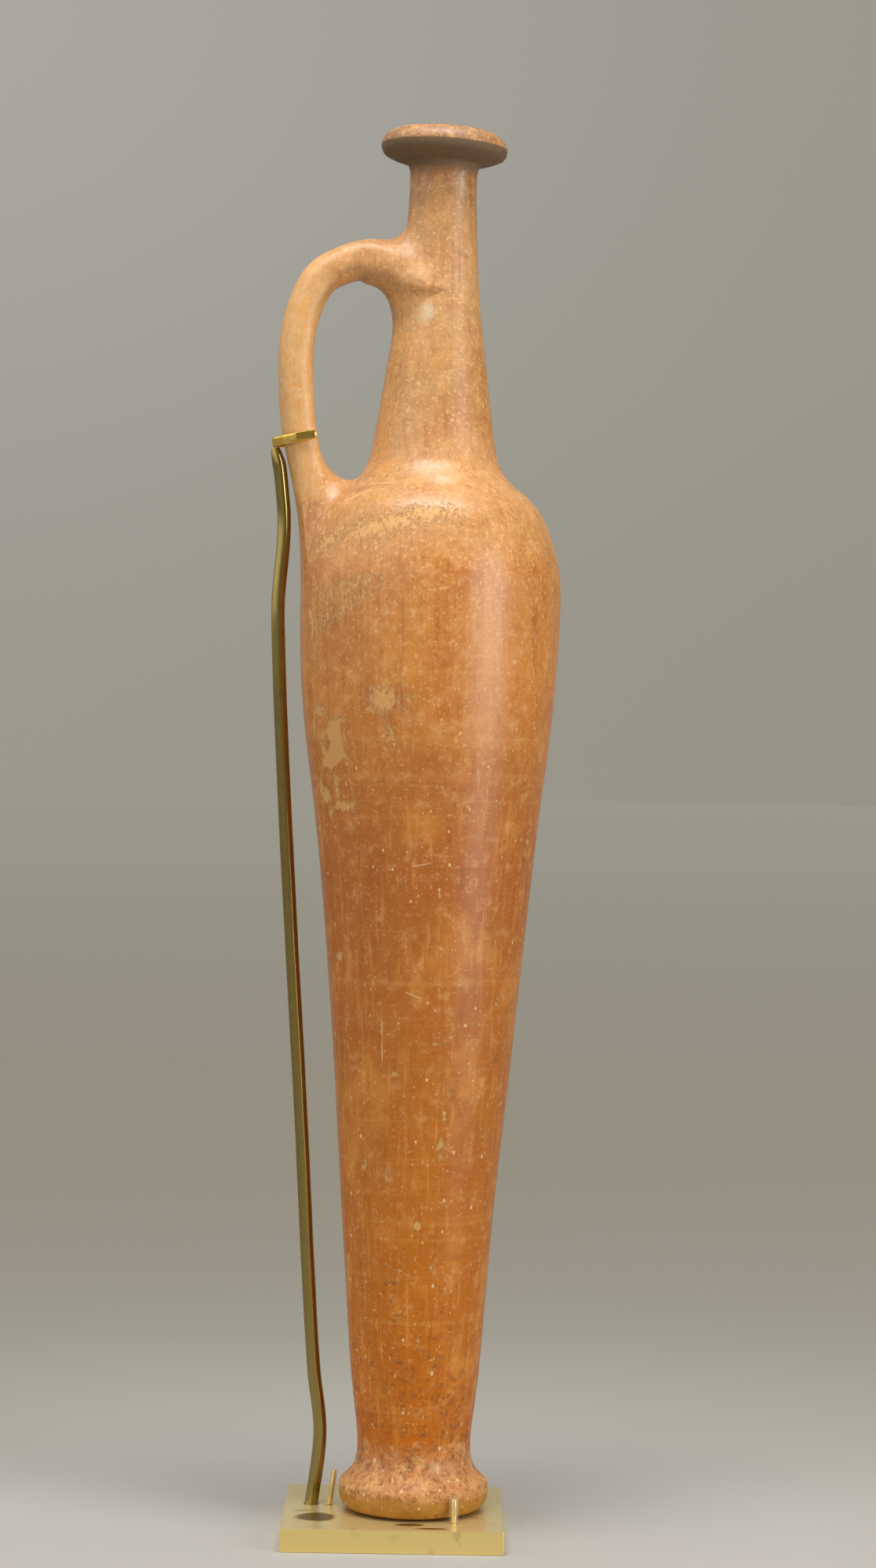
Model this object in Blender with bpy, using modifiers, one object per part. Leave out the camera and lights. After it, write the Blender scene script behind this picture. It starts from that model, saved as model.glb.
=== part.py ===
"""Spindle bottle on its brass stand.

A tall, slip-covered clay bottle with a strap handle stands on a square brass plate. A bent
rod rises from the plate and holds the handle in a flat clip. Three sleeved pins keep the
foot from sliding. Metres, +Z up. The origin is the middle of the plate's underside, the
handle is towards -X and the front towards -Y. Heights on the bottle count from its
resting ring.
"""

import math

import bmesh
import bpy
import numpy as np
from mathutils import Matrix, Vector

# Base plate
PLATE_SIDE = 0.0762
PLATE_THICKNESS = 0.0079
PLATE_EDGE = 0.0004
SEAT_FLOOR = 0.0026
TOUCH_GAP = 0.0003

# Bottle, from the foot up
BOTTLE_OFFSET = 0.0068
FOOT_RING_RADIUS = 0.0210
FOOT_RADIUS = 0.0265
FOOT_WIDEST_HEIGHT = 0.0072
FOOT_HOLLOW = 0.0014
WAIST_RADIUS = 0.0201
WAIST_RISE = 0.0155
BELLY_RADIUS = 0.0459
BELLY_RISE = 0.2953
NECK_ROOT_RADIUS = 0.0212
SHOULDER_RISE = 0.0554
NECK_RADIUS = 0.0117
NECK_RISE = 0.0875
RIM_RADIUS = 0.02205
RIM_RISE = 0.0129
LIP_RISE = 0.0057
DISH_DEPTH = 0.0075
RIM_TILT = math.radians(2.5)
TOP_SHIFT = 0.0037

# Clay thicknesses
BODY_WALL = 0.0055
THROAT_RADIUS = 0.0070
FLOOR_THICKNESS = 0.0090

# Handle
HANDLE_THICKNESS = 0.0123
HANDLE_WIDTH = 0.0150
HANDLE_OVERHANG = 0.0035
HANDLE_SIDE = math.radians(188.0)
HANDLE_TOP_SHARE = 0.680
HANDLE_OUTER_SHARE = 0.6

# Rod
ROD_RADIUS = 0.00238
ROD_BASE_GAP = 0.0070
ROD_FREE_GAP = 0.0105
ROD_BASE_SIDE = math.radians(172.8)

# Clip
STRIP_HEIGHT = 0.0033
STRIP_THICKNESS = 0.0012
STRIP_EDGE = 0.0002
CLIP_SHARE = 0.467
CLIP_ARM_SHARE = 0.74
ROD_TOP_GAP = 0.0005

# Foot pins, each with its side, its length above the plate and its lean towards the foot
PIN_RADIUS = 0.0009
SLEEVE_WALL = 0.00055
SLEEVE_BORE_GAP = 0.0002
SLEEVE_OVERLENGTH = 0.0005
SHORT_PIN_LENGTH = 0.0082
LONG_PIN_LENGTH = 0.0120
PINS = {
    "front": (math.radians(-60.0), SHORT_PIN_LENGTH, 0.0),
    "left": (math.radians(174.0), LONG_PIN_LENGTH, math.radians(8.0)),
    "back": (math.radians(57.0), LONG_PIN_LENGTH, math.radians(8.0)),
}

# Free forms as shares of the sizes above.
# Body, from the waist up to the belly: share of the rise, share of the swell.
BODY_SHAPE = [(0.09, 0.107), (0.28, 0.266), (0.465, 0.440), (0.65, 0.634), (0.76, 0.770),
              (0.835, 0.883), (0.91, 0.962)]
# Shoulder, from the belly up to the neck's root: share of the rise, share of the narrowing.
SHOULDER_SHAPE = [(0.12, 0.014), (0.31, 0.105), (0.51, 0.287), (0.61, 0.474), (0.71, 0.735),
                  (0.80, 0.888), (0.90, 0.960)]
# Neck, from its root to its top: share of the rise, share of the narrowing.
NECK_SHAPE = [(0.125, 0.18), (0.31, 0.42), (0.56, 0.745), (0.81, 0.925)]
# Foot, from the widest level up to the waist: share of the rise, share of the narrowing.
FOOT_SHAPE = [(0.15, 0.06), (0.30, 0.43), (0.47, 0.76), (0.65, 0.92)]
# Rim underside, from the neck's top out to the widest level: share of the rise, of the flare.
FLANGE_SHAPE = [(0.45, 0.03), (0.575, 0.12), (0.65, 0.40), (0.74, 0.72), (0.83, 0.92)]
# Lip, from its widest level up to its crest: share of the rim's radius, share of the rise.
LIP_SHAPE = [(0.985, 0.37), (0.91, 0.77), (0.78, 1.0)]
# Mouth's dish, from the lip's crest inwards: share of the rim's radius, share of the depth.
DISH_SHAPE = [(0.68, 0.05), (0.50, 0.48)]
THROAT_EDGE_DEPTH = 0.92
# Toe, from the widest level down to the resting ring: share of the toe, share of the height.
TOE_SHAPE = [(0.92, 0.50), (0.60, 0.15)]
# Underside's hollow, inside the resting ring: share of the ring's radius, share of the depth.
UNDERSIDE_SHAPE = (0.8, 0.6)
# Sideways wander of the bottle's axis: share of the bottle's height, share of the top's shift.
AXIS_WANDER = [(0.0, 0.0), (0.21, 0.03), (0.42, 0.32), (0.66, 0.30), (0.78, 0.43),
               (0.95, 0.92), (1.0, 1.0)]
# Handle, from the neck to the shoulder: share of the reach, share of the height from the
# belly to the upper root, share of the half thickness.
HANDLE_SHAPE = [(0.06, 0.990, 1.58), (0.20, 0.993, 1.80), (0.35, 0.994, 1.71),
                (0.556, 1.010, 1.17), (0.734, 0.985, 1.08), (0.853, 0.948, 1.05),
                (0.945, 0.870, 1.02), (0.993, 0.763, 1.00), (0.990, 0.620, 1.00),
                (0.952, 0.480, 0.99), (0.915, 0.410, 0.98), (0.860, 0.345, 1.16),
                (0.771, 0.276, 1.70), (0.750, 0.198, 1.60), (0.730, 0.112, 1.58),
                (0.725, 0.034, 1.45)]
# Rod, from the plate to the clip: share of the rod's rise, share of the free gap that is left
# to the bottle's outline.
ROD_BENDS = [(0.068, 1.0), (0.127, 1.0), (0.217, 0.99), (0.373, 0.94), (0.528, 0.90),
             (0.686, 0.68), (0.797, 0.47), (0.857, 0.45), (0.909, 0.30), (0.935, 0.17),
             (0.960, 0.11), (0.982, 0.09)]

# Facets
TURNED_SIDES = 40
TURNED_ROWS = 52
HOLLOW_SIDES = 28
HOLLOW_ROWS = 24
TUBE_RINGS = 30
PIN_SIDES = 14
ARC_STEPS = 8

# Heights and sizes that follow from the ones above
WAIST_HEIGHT = FOOT_WIDEST_HEIGHT + WAIST_RISE
BELLY_HEIGHT = WAIST_HEIGHT + BELLY_RISE
NECK_ROOT_HEIGHT = BELLY_HEIGHT + SHOULDER_RISE
NECK_TOP_HEIGHT = NECK_ROOT_HEIGHT + NECK_RISE
RIM_HEIGHT = NECK_TOP_HEIGHT + RIM_RISE
LIP_HEIGHT = RIM_HEIGHT + LIP_RISE
BOTTLE_BASE = PLATE_THICKNESS + TOUCH_GAP
HANDLE_REACH = BELLY_RADIUS + HANDLE_OVERHANG
HANDLE_TOP_HEIGHT = NECK_ROOT_HEIGHT + HANDLE_TOP_SHARE * NECK_RISE
SLEEVE_BORE = PIN_RADIUS + SLEEVE_BORE_GAP
SLEEVE_RADIUS = SLEEVE_BORE + SLEEVE_WALL
CLIP_SLACK = ROD_RADIUS + ROD_TOP_GAP - STRIP_THICKNESS / 2


def smooth_line(points, steps=12):
    """A smooth line through the points (centripetal Catmull-Rom), steps to each span."""
    points = np.asarray(points, float)
    ends = np.vstack([2 * points[0] - points[1], points, 2 * points[-1] - points[-2]])
    knots = np.concatenate([[0], np.cumsum(np.linalg.norm(np.diff(ends, axis=0), axis=1) ** 0.5)])
    spans = []
    for i in range(len(points) - 1):
        t0, t1, t2, t3 = knots[i:i + 4]
        p0, p1, p2, p3 = ends[i:i + 4]
        t = np.linspace(t1, t2, steps, endpoint=False)[:, None]
        a1 = (t1 - t) / (t1 - t0) * p0 + (t - t0) / (t1 - t0) * p1
        a2 = (t2 - t) / (t2 - t1) * p1 + (t - t1) / (t2 - t1) * p2
        a3 = (t3 - t) / (t3 - t2) * p2 + (t - t2) / (t3 - t2) * p3
        b1 = (t2 - t) / (t2 - t0) * a1 + (t - t0) / (t2 - t0) * a2
        b2 = (t3 - t) / (t3 - t1) * a2 + (t - t1) / (t3 - t1) * a3
        spans.append((t2 - t) / (t2 - t1) * b1 + (t - t1) / (t2 - t1) * b2)
    return np.vstack(spans + [points[-1:]])


def spread_rows(line, count, turn_weight=0.5):
    """Count points of a fine line, closer together where it turns."""
    step = np.diff(line, axis=0)
    length = np.linalg.norm(step, axis=1)
    direction = step / length[:, None]
    turn = np.arccos(np.clip((direction[1:] * direction[:-1]).sum(axis=1), -1, 1))
    turn = np.concatenate([turn, [0]])
    cost = (1 - turn_weight) * length / length.sum() + turn_weight * turn / turn.sum()
    at = np.concatenate([[0], np.cumsum(cost)])
    wanted = np.linspace(0, at[-1], count)
    return np.column_stack([np.interp(wanted, at, line[:, k]) for k in range(line.shape[1])])


def between(shape, low, high, first, last):
    """Shares of a rise and of a change turned into (radius, height) points."""
    return [(first + (last - first) * change, low + (high - low) * rise) for rise, change in shape]


def outer_stations():
    """The bottle's outline, from the middle of the mouth's dish down to the underside."""
    flare, toe = RIM_RADIUS - NECK_RADIUS, FOOT_RADIUS - FOOT_RING_RADIUS
    down = [(0.0, LIP_HEIGHT - DISH_DEPTH),
            (THROAT_RADIUS + TOUCH_GAP, LIP_HEIGHT - THROAT_EDGE_DEPTH * DISH_DEPTH)]
    down += [(RIM_RADIUS * out, LIP_HEIGHT - DISH_DEPTH * depth) for out, depth in DISH_SHAPE[::-1]]
    down += [(RIM_RADIUS * out, RIM_HEIGHT + LIP_RISE * up) for out, up in LIP_SHAPE[::-1]]
    down += [(RIM_RADIUS, RIM_HEIGHT)]
    down += [(NECK_RADIUS + flare * out, NECK_TOP_HEIGHT + RIM_RISE * up)
             for up, out in FLANGE_SHAPE[::-1]]
    down += [(NECK_RADIUS, NECK_TOP_HEIGHT)]
    down += between(NECK_SHAPE[::-1], NECK_ROOT_HEIGHT, NECK_TOP_HEIGHT, NECK_ROOT_RADIUS, NECK_RADIUS)
    down += [(NECK_ROOT_RADIUS, NECK_ROOT_HEIGHT)]
    down += between(SHOULDER_SHAPE[::-1], BELLY_HEIGHT, NECK_ROOT_HEIGHT, BELLY_RADIUS, NECK_ROOT_RADIUS)
    down += [(BELLY_RADIUS, BELLY_HEIGHT)]
    down += between(BODY_SHAPE[::-1], WAIST_HEIGHT, BELLY_HEIGHT, WAIST_RADIUS, BELLY_RADIUS)
    down += [(WAIST_RADIUS, WAIST_HEIGHT)]
    down += between(FOOT_SHAPE[::-1], FOOT_WIDEST_HEIGHT, WAIST_HEIGHT, FOOT_RADIUS, WAIST_RADIUS)
    down += [(FOOT_RADIUS, FOOT_WIDEST_HEIGHT)]
    down += [(FOOT_RING_RADIUS + toe * out, FOOT_WIDEST_HEIGHT * up) for out, up in TOE_SHAPE]
    down += [(FOOT_RING_RADIUS, 0.0),
             (UNDERSIDE_SHAPE[0] * FOOT_RING_RADIUS, UNDERSIDE_SHAPE[1] * FOOT_HOLLOW),
             (0.0, FOOT_HOLLOW)]
    return down


OUTLINE = smooth_line(outer_stations())
SIDE = OUTLINE[(OUTLINE[:, 1] <= NECK_TOP_HEIGHT) & (OUTLINE[:, 1] >= WAIST_HEIGHT)]


def radius_at(height):
    """Outer radius of the bottle between its waist and the top of its neck."""
    return float(np.interp(height, SIDE[::-1, 1], SIDE[::-1, 0]))


def wander_at(height):
    """Sideways shift of the bottle's axis at a height, or at an array of them."""
    line = smooth_line(AXIS_WANDER)
    return np.interp(height, line[:, 0] * LIP_HEIGHT, line[:, 1] * TOP_SHIFT)


def hollow_outline():
    """The inside, from above the mouth down to the floor, a wall's thickness in from the side."""
    tangent = np.gradient(SIDE, axis=0)
    tangent /= np.linalg.norm(tangent, axis=1)[:, None]
    inward = np.column_stack([tangent[:, 1], -tangent[:, 0]])
    neck_share = np.clip((SIDE[:, 1] - NECK_ROOT_HEIGHT) / NECK_RISE, 0, 1)
    wall = BODY_WALL + neck_share * (NECK_RADIUS - THROAT_RADIUS - BODY_WALL)
    inside = SIDE + inward * wall[:, None]
    turn = np.linspace(0, math.pi / 2, 12)[1:]
    low_radius, low_height = inside[-1]
    bowl = np.column_stack([low_radius * np.cos(turn),
                            low_height - (low_height - FLOOR_THICKNESS) * np.sin(turn)])
    top = LIP_HEIGHT + 2 * DISH_DEPTH
    rows = spread_rows(np.vstack([inside, bowl]), HOLLOW_ROWS)
    rows[-1, 0] = 0.0
    return np.vstack([[(0.0, top), (THROAT_RADIUS, top)], rows])


def material(name, color, roughness, metallic=0.0, alpha=1.0):
    """A Principled material with the piece's colour and gloss."""
    made = bpy.data.materials.new(name)
    made.use_nodes = True
    shader = made.node_tree.nodes["Principled BSDF"]
    shader.inputs["Base Color"].default_value = (*color, 1.0)
    shader.inputs["Roughness"].default_value = roughness
    shader.inputs["Metallic"].default_value = metallic
    shader.inputs["Alpha"].default_value = alpha
    made.diffuse_color = (*color, alpha)
    return made


def add_object(name, data, collection):
    """A new object in a collection, with nothing else done to it."""
    made = bpy.data.objects.new(name, data)
    collection.objects.link(made)
    return made


def finish(obj, surface, angle=35.0):
    """The material, smooth shading and sharp edges of a finished piece."""
    obj.data.materials.clear()
    obj.data.materials.append(surface)
    obj.data.shade_smooth()
    obj.data.set_sharp_from_angle(angle=math.radians(angle))


def as_cutter(obj):
    """A shape that only cuts or joins another one."""
    obj.hide_render = True
    obj.display_type = "WIRE"
    return obj


def to_mesh(obj, collection, welded=True):
    """The object's evaluated shape as a new mesh object, the old one being removed."""
    bpy.context.view_layer.update()
    shape = obj.evaluated_get(bpy.context.evaluated_depsgraph_get())
    mesh = bpy.data.meshes.new_from_object(shape)
    name, place = obj.name, obj.matrix_world.copy()
    bpy.data.objects.remove(obj)
    if welded:
        shell = bmesh.new()
        shell.from_mesh(mesh)
        bmesh.ops.remove_doubles(shell, verts=shell.verts, dist=0.00001)
        bmesh.ops.recalc_face_normals(shell, faces=shell.faces)
        shell.to_mesh(mesh)
        shell.free()
    made = add_object(name, mesh, collection)
    made.matrix_world = place
    return made


def boolean(obj, other, operation):
    """A Boolean modifier that joins or cuts with another object."""
    step = obj.modifiers.new(operation.title() + " " + other.name, "BOOLEAN")
    step.operation = operation
    step.solver = "EXACT"
    step.object = other


def turned(name, line, sides, collection):
    """A profile of (radius, height) points turned about Z, then bent along the bottle's axis."""
    mesh = bpy.data.meshes.new(name)
    rows = [(radius, 0.0, height) for radius, height in line]
    mesh.from_pydata(rows, [(i, i + 1) for i in range(len(rows) - 1)], [])
    profile = add_object(name, mesh, collection)
    screw = profile.modifiers.new("Turn", "SCREW")
    screw.steps = screw.render_steps = sides
    screw.use_merge_vertices = True
    screw.merge_threshold = 0.00001
    body = to_mesh(profile, collection, welded=False)
    points = np.empty(len(body.data.vertices) * 3, np.float32)
    body.data.vertices.foreach_get("co", points)
    points = points.reshape(-1, 3)
    height = points[:, 2].copy()
    tilt = np.clip((height - NECK_TOP_HEIGHT) / RIM_RISE, 0, 1)
    points[:, 2] -= tilt * tilt * (3 - 2 * tilt) * math.tan(RIM_TILT) * points[:, 0]
    points[:, 0] += wander_at(height)
    body.data.vertices.foreach_set("co", points.ravel())
    body.location = (BOTTLE_OFFSET, 0, BOTTLE_BASE)
    return body


def handle_line(steps=12):
    """The handle's middle line as (reach, height, radius) from the neck to the shoulder."""
    rise = HANDLE_TOP_HEIGHT - BELLY_HEIGHT
    points = [(HANDLE_REACH * reach, BELLY_HEIGHT + rise * up, 0.5 * HANDLE_THICKNESS * swell)
              for reach, up, swell in HANDLE_SHAPE]
    return smooth_line(points, steps)


def tube(name, points, radii, thickness, sides_step, collection):
    """A curve with a round section through points, whose radius can vary along it."""
    curve = bpy.data.curves.new(name, "CURVE")
    curve.dimensions = "3D"
    curve.bevel_depth = thickness
    curve.bevel_resolution = sides_step
    curve.use_fill_caps = True
    spline = curve.splines.new("POLY")
    spline.points.add(len(points) - 1)
    for point, place, radius in zip(spline.points, points, radii):
        point.co = (*place, 1.0)
        point.radius = radius / thickness
    return add_object(name, curve, collection)


def make_handle(collection):
    """The strap handle: an oval tube in an upright plane, wider across than it is thick."""
    line = spread_rows(handle_line(), TUBE_RINGS)
    shift = wander_at(line[:, 1])
    ratio = HANDLE_WIDTH / HANDLE_THICKNESS
    points = np.column_stack([line[:, 0] + shift * math.cos(HANDLE_SIDE),
                              -shift * math.sin(HANDLE_SIDE) / ratio, line[:, 1]])
    strap = tube("handle_clay", points, line[:, 2], 0.5 * HANDLE_THICKNESS, 5, collection)
    strap.location = (BOTTLE_OFFSET, 0, BOTTLE_BASE)
    strap.rotation_euler = (0, 0, HANDLE_SIDE)
    strap.scale = (1, ratio, 1)
    return as_cutter(to_mesh(strap, collection))


def make_bottle(parts, cutters, clay):
    """The fired clay bottle: turned outside and handle joined, then hollowed."""
    bottle = turned("bottle", spread_rows(OUTLINE, TURNED_ROWS), TURNED_SIDES, parts)
    boolean(bottle, make_handle(cutters), "UNION")
    hollow = turned("bottle_hollow", hollow_outline(), HOLLOW_SIDES, cutters)
    boolean(bottle, as_cutter(hollow), "DIFFERENCE")
    finish(bottle, clay, 40.0)
    return bottle


def clip_frame():
    """Middle of the handle at the clip, with the outward, sideways and upward directions."""
    line = handle_line()
    outer = line[line[:, 0] > HANDLE_OUTER_SHARE * HANDLE_REACH]
    height = BELLY_HEIGHT + CLIP_SHARE * (HANDLE_TOP_HEIGHT - BELLY_HEIGHT)
    at = int(np.argmin(np.abs(outer[:, 1] - height)))
    reach, height = outer[at, :2]
    slope = outer[at - 1, :2] - outer[at + 1, :2]
    side = Vector((math.cos(HANDLE_SIDE), math.sin(HANDLE_SIDE), 0))
    up = (side * slope[0] + Vector((0, 0, slope[1]))).normalized()
    across = Vector((0, 0, 1)).cross(side)
    out = across.cross(up)
    middle = side * reach + Vector((BOTTLE_OFFSET + float(wander_at(height)), 0,
                                    BOTTLE_BASE + height))
    return middle, out, across, up, outer[at, 2]


def clip_outline(half_thickness, half_width):
    """Half of the strip's inner line: along one arm, then round the outside of the handle."""
    turn = np.linspace(math.pi / 2, 0, ARC_STEPS + 1)
    reach = half_thickness + CLIP_SLACK
    arc = np.column_stack([reach * np.cos(turn), half_width * np.sin(turn)])
    return np.vstack([[(-CLIP_ARM_SHARE * half_thickness, half_width)], arc])


def make_clip(parts, brass):
    """A flat brass strip bent round the outside of the handle, open towards the neck."""
    middle, out, across, up, half = clip_frame()
    ratio = HANDLE_WIDTH / HANDLE_THICKNESS
    inner = clip_outline(half + TOUCH_GAP, half * ratio + TOUCH_GAP)
    outer = clip_outline(half + TOUCH_GAP + STRIP_THICKNESS,
                         half * ratio + TOUCH_GAP + STRIP_THICKNESS)
    outer[0, 0] = inner[0, 0]
    mirror = np.array([1, -1])
    loop = np.vstack([outer, (outer * mirror)[-2::-1], inner * mirror, inner[-2::-1]])
    curve = bpy.data.curves.new("handle_clip", "CURVE")
    curve.dimensions = "2D"
    curve.fill_mode = "BOTH"
    curve.extrude = STRIP_HEIGHT / 2
    spline = curve.splines.new("POLY")
    spline.points.add(len(loop) - 1)
    spline.use_cyclic_u = True
    for point, (x, y) in zip(spline.points, loop):
        point.co = (x, y, 0, 1)
    clip = to_mesh(add_object("handle_clip", curve, parts), parts)
    turn = Matrix((out, across, up)).transposed().to_4x4()
    clip.matrix_world = Matrix.Translation(middle) @ turn
    edge = clip.modifiers.new("Soft edges", "BEVEL")
    edge.width = STRIP_EDGE
    edge.segments = 1
    edge.limit_method = "ANGLE"
    edge.angle_limit = math.radians(50)
    finish(clip, brass)
    return clip


def clay_reach(height):
    """How far the bottle reaches on the handle's side: its wall, or the handle's outer edge."""
    line = handle_line()
    outer = line[line[:, 0] > HANDLE_OUTER_SHARE * HANDLE_REACH][::-1]
    wall = radius_at(height)
    if height < outer[0, 1]:
        return wall
    return max(wall, float(np.interp(height, outer[:, 1], outer[:, 0] + outer[:, 2])))


def rod_points():
    """The rod's middle line, from its seat in the plate to just under the clip."""
    middle, out, _, up, half = clip_frame()
    strap = middle + out * (half + TOUCH_GAP + CLIP_SLACK + STRIP_THICKNESS / 2)
    top = strap - up * (STRIP_HEIGHT / 2 + TOUCH_GAP)
    rise = top.z - BOTTLE_BASE
    reach = FOOT_RADIUS + ROD_BASE_GAP + ROD_RADIUS
    base = Vector((BOTTLE_OFFSET + reach * math.cos(ROD_BASE_SIDE), reach * math.sin(ROD_BASE_SIDE),
                   PLATE_THICKNESS))
    bends = []
    for share, gap in ROD_BENDS:
        height = share * rise
        side = ROD_BASE_SIDE + share * (HANDLE_SIDE - ROD_BASE_SIDE)
        reach = clay_reach(height) + ROD_RADIUS + gap * ROD_FREE_GAP
        bends.append(Vector((BOTTLE_OFFSET + float(wander_at(height)) + reach * math.cos(side),
                             reach * math.sin(side), BOTTLE_BASE + height)))
    start = (bends[0] - base).normalized()
    seat = base - start * ((PLATE_THICKNESS - SEAT_FLOOR - TOUCH_GAP) / start.z)
    return [seat, base] + bends + [top]


def make_rod(parts, cutters, brass):
    """The bent upright rod, and the cutter for its seat in the plate."""
    points = rod_points()
    line = spread_rows(smooth_line(points, 8), TUBE_RINGS, 0.35)
    rod = tube("upright_rod", line, [ROD_RADIUS] * len(line), ROD_RADIUS, 4, parts)
    rod = to_mesh(rod, parts)
    finish(rod, brass)
    seat, base = points[:2]
    direction = (base - seat).normalized()
    wide = ROD_RADIUS + TOUCH_GAP
    ends = [seat - direction * TOUCH_GAP, base + direction * 2 * ROD_RADIUS]
    bore = tube("rod_seat", ends, [wide, wide], wide, 5, cutters)
    return as_cutter(to_mesh(bore, cutters))


def cylinder(name, radius, low, high, collection):
    """An upright cylinder about its own origin, between two levels."""
    mesh = bpy.data.meshes.new(name)
    shape = bmesh.new()
    bmesh.ops.create_cone(shape, cap_ends=True, segments=PIN_SIDES, radius1=radius, radius2=radius,
                          depth=high - low)
    bmesh.ops.translate(shape, verts=shape.verts, vec=(0, 0, (high + low) / 2))
    shape.to_mesh(mesh)
    shape.free()
    return add_object(name, mesh, collection)


def make_pin(name, side, length, lean, parts, cutters, brass, plastic):
    """One foot pin with its clear sleeve, and the cutter for its seat in the plate."""
    reach = FOOT_RADIUS + SLEEVE_RADIUS / math.cos(lean) + TOUCH_GAP
    reach += FOOT_WIDEST_HEIGHT * math.tan(lean)
    place = Matrix.Translation((BOTTLE_OFFSET + reach * math.cos(side), reach * math.sin(side),
                                PLATE_THICKNESS))
    place = place @ Matrix.Rotation(side, 4, "Z") @ Matrix.Rotation(-lean, 4, "Y")
    depth = (PLATE_THICKNESS - SEAT_FLOOR) / math.cos(lean)
    tip = length / math.cos(lean)
    lift = TOUCH_GAP + SLEEVE_RADIUS * math.tan(lean)
    pin = cylinder("foot_pin_" + name, PIN_RADIUS, TOUCH_GAP - depth, tip, parts)
    sleeve = cylinder("pin_sleeve_" + name, SLEEVE_RADIUS, lift, tip + SLEEVE_OVERLENGTH, parts)
    bore = cylinder("sleeve_bore_" + name, SLEEVE_BORE, 0, length * 2, cutters)
    seat = cylinder("pin_seat_" + name, SLEEVE_BORE, -depth, length, cutters)
    for piece in (pin, sleeve, bore, seat):
        piece.matrix_world = place
    boolean(sleeve, as_cutter(bore), "DIFFERENCE")
    finish(pin, brass)
    finish(sleeve, plastic)
    return as_cutter(seat)


def make_plate(parts, seats, brass):
    """The square base plate with softened edges and a blind seat for the rod and each pin."""
    mesh = bpy.data.meshes.new("base_plate")
    shape = bmesh.new()
    bmesh.ops.create_cube(shape, size=1.0)
    bmesh.ops.scale(shape, verts=shape.verts, vec=(PLATE_SIDE, PLATE_SIDE, PLATE_THICKNESS))
    bmesh.ops.translate(shape, verts=shape.verts, vec=(0, 0, PLATE_THICKNESS / 2))
    shape.to_mesh(mesh)
    shape.free()
    plate = add_object("base_plate", mesh, parts)
    edge = plate.modifiers.new("Soft edges", "BEVEL")
    edge.width = PLATE_EDGE
    edge.segments = 2
    for seat in seats:
        boolean(plate, seat, "DIFFERENCE")
    finish(plate, brass)
    return plate


def main():
    """Empties the scene and builds the bottle and its stand."""
    for old in list(bpy.data.objects):
        bpy.data.objects.remove(old)
    parts = bpy.data.collections.new("Spindle bottle")
    cutters = bpy.data.collections.new("Cutters")
    for collection in (parts, cutters):
        bpy.context.scene.collection.children.link(collection)
    clay = material("Burnished red slip", (0.47, 0.16, 0.055), 0.42)
    brass = material("Polished brass", (0.72, 0.53, 0.20), 0.22, metallic=1.0)
    plastic = material("Clear sleeve plastic", (0.86, 0.86, 0.80), 0.15, alpha=0.4)
    make_bottle(parts, cutters, clay)
    make_clip(parts, brass)
    seats = [make_rod(parts, cutters, brass)]
    for name, (side, length, lean) in PINS.items():
        seats.append(make_pin(name, side, length, lean, parts, cutters, brass, plastic))
    make_plate(parts, seats, brass)


main()
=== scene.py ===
"""Spindle bottle on its brass stand: fine surfaces, finishes, light and camera.

Metres, +Z up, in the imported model's frame. The front is towards -Y and the handle towards -X.
Heights on the bottle count from its resting ring.
"""
import logging
import math
from dataclasses import dataclass, field
from enum import Enum

import bpy
import numpy as np
from mathutils import Matrix, Vector


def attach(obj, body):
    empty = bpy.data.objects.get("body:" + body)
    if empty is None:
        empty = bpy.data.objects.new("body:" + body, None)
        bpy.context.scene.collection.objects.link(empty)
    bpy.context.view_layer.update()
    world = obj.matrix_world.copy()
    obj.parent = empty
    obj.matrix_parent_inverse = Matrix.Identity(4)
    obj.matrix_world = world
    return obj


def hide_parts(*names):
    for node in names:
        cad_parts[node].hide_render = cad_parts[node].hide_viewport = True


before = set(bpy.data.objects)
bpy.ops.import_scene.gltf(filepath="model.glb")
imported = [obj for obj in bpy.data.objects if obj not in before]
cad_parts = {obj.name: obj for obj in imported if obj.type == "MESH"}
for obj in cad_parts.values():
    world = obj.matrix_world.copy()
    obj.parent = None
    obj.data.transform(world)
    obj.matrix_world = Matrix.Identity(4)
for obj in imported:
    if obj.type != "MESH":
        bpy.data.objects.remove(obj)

Tree = bpy.types.NodeTree
Socket = bpy.types.NodeSocket

LOG = logging.getLogger("spindle_bottle")
MM = 0.001
TURN = 2.0 * math.pi
FRONT = -0.5 * math.pi
# In millimetres: the depth given to points far from any mark, and how far a mark reaches into and
# out of the wall.
NO_MARK = -6.0
MARK_REACH = 8.0
# Shares of a small oval's half size: how far a pattern frays its edge, and where the edge starts
# and is full.
FRAY = 0.7
FRAYED_EDGE = (1.38, 1.12)


class Wear(Enum):
    """What has happened to the slip at a mark."""

    WORN = "worn"
    KEPT = "kept"
    RUBBED = "rubbed"
    CRUSTED = "crusted"
    SOOTED = "sooted"


@dataclass(frozen=True)
class Mark:
    """An oval mark on the bottle's wall.

    The angle is in degrees round from the front, the rest in millimetres; turn is in degrees,
    and lifts the oval's right end.
    """

    wear: Wear
    angle: float
    height: float
    half_across: float
    half_up: float
    turn: float = 0.0


def linear(code: str) -> tuple[float, float, float, float]:
    """Turns an sRGB hex colour into the linear values that a shader takes.

    Args:
        code: six hex digits.

    Returns:
        Linear red, green and blue, and an alpha of one.
    """
    shares = [int(code[i:i + 2], 16) / 255.0 for i in (0, 2, 4)]
    flat = [s / 12.92 if s <= 0.04045 else ((s + 0.055) / 1.055) ** 2.4 for s in shares]
    return (flat[0], flat[1], flat[2], 1.0)


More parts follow.
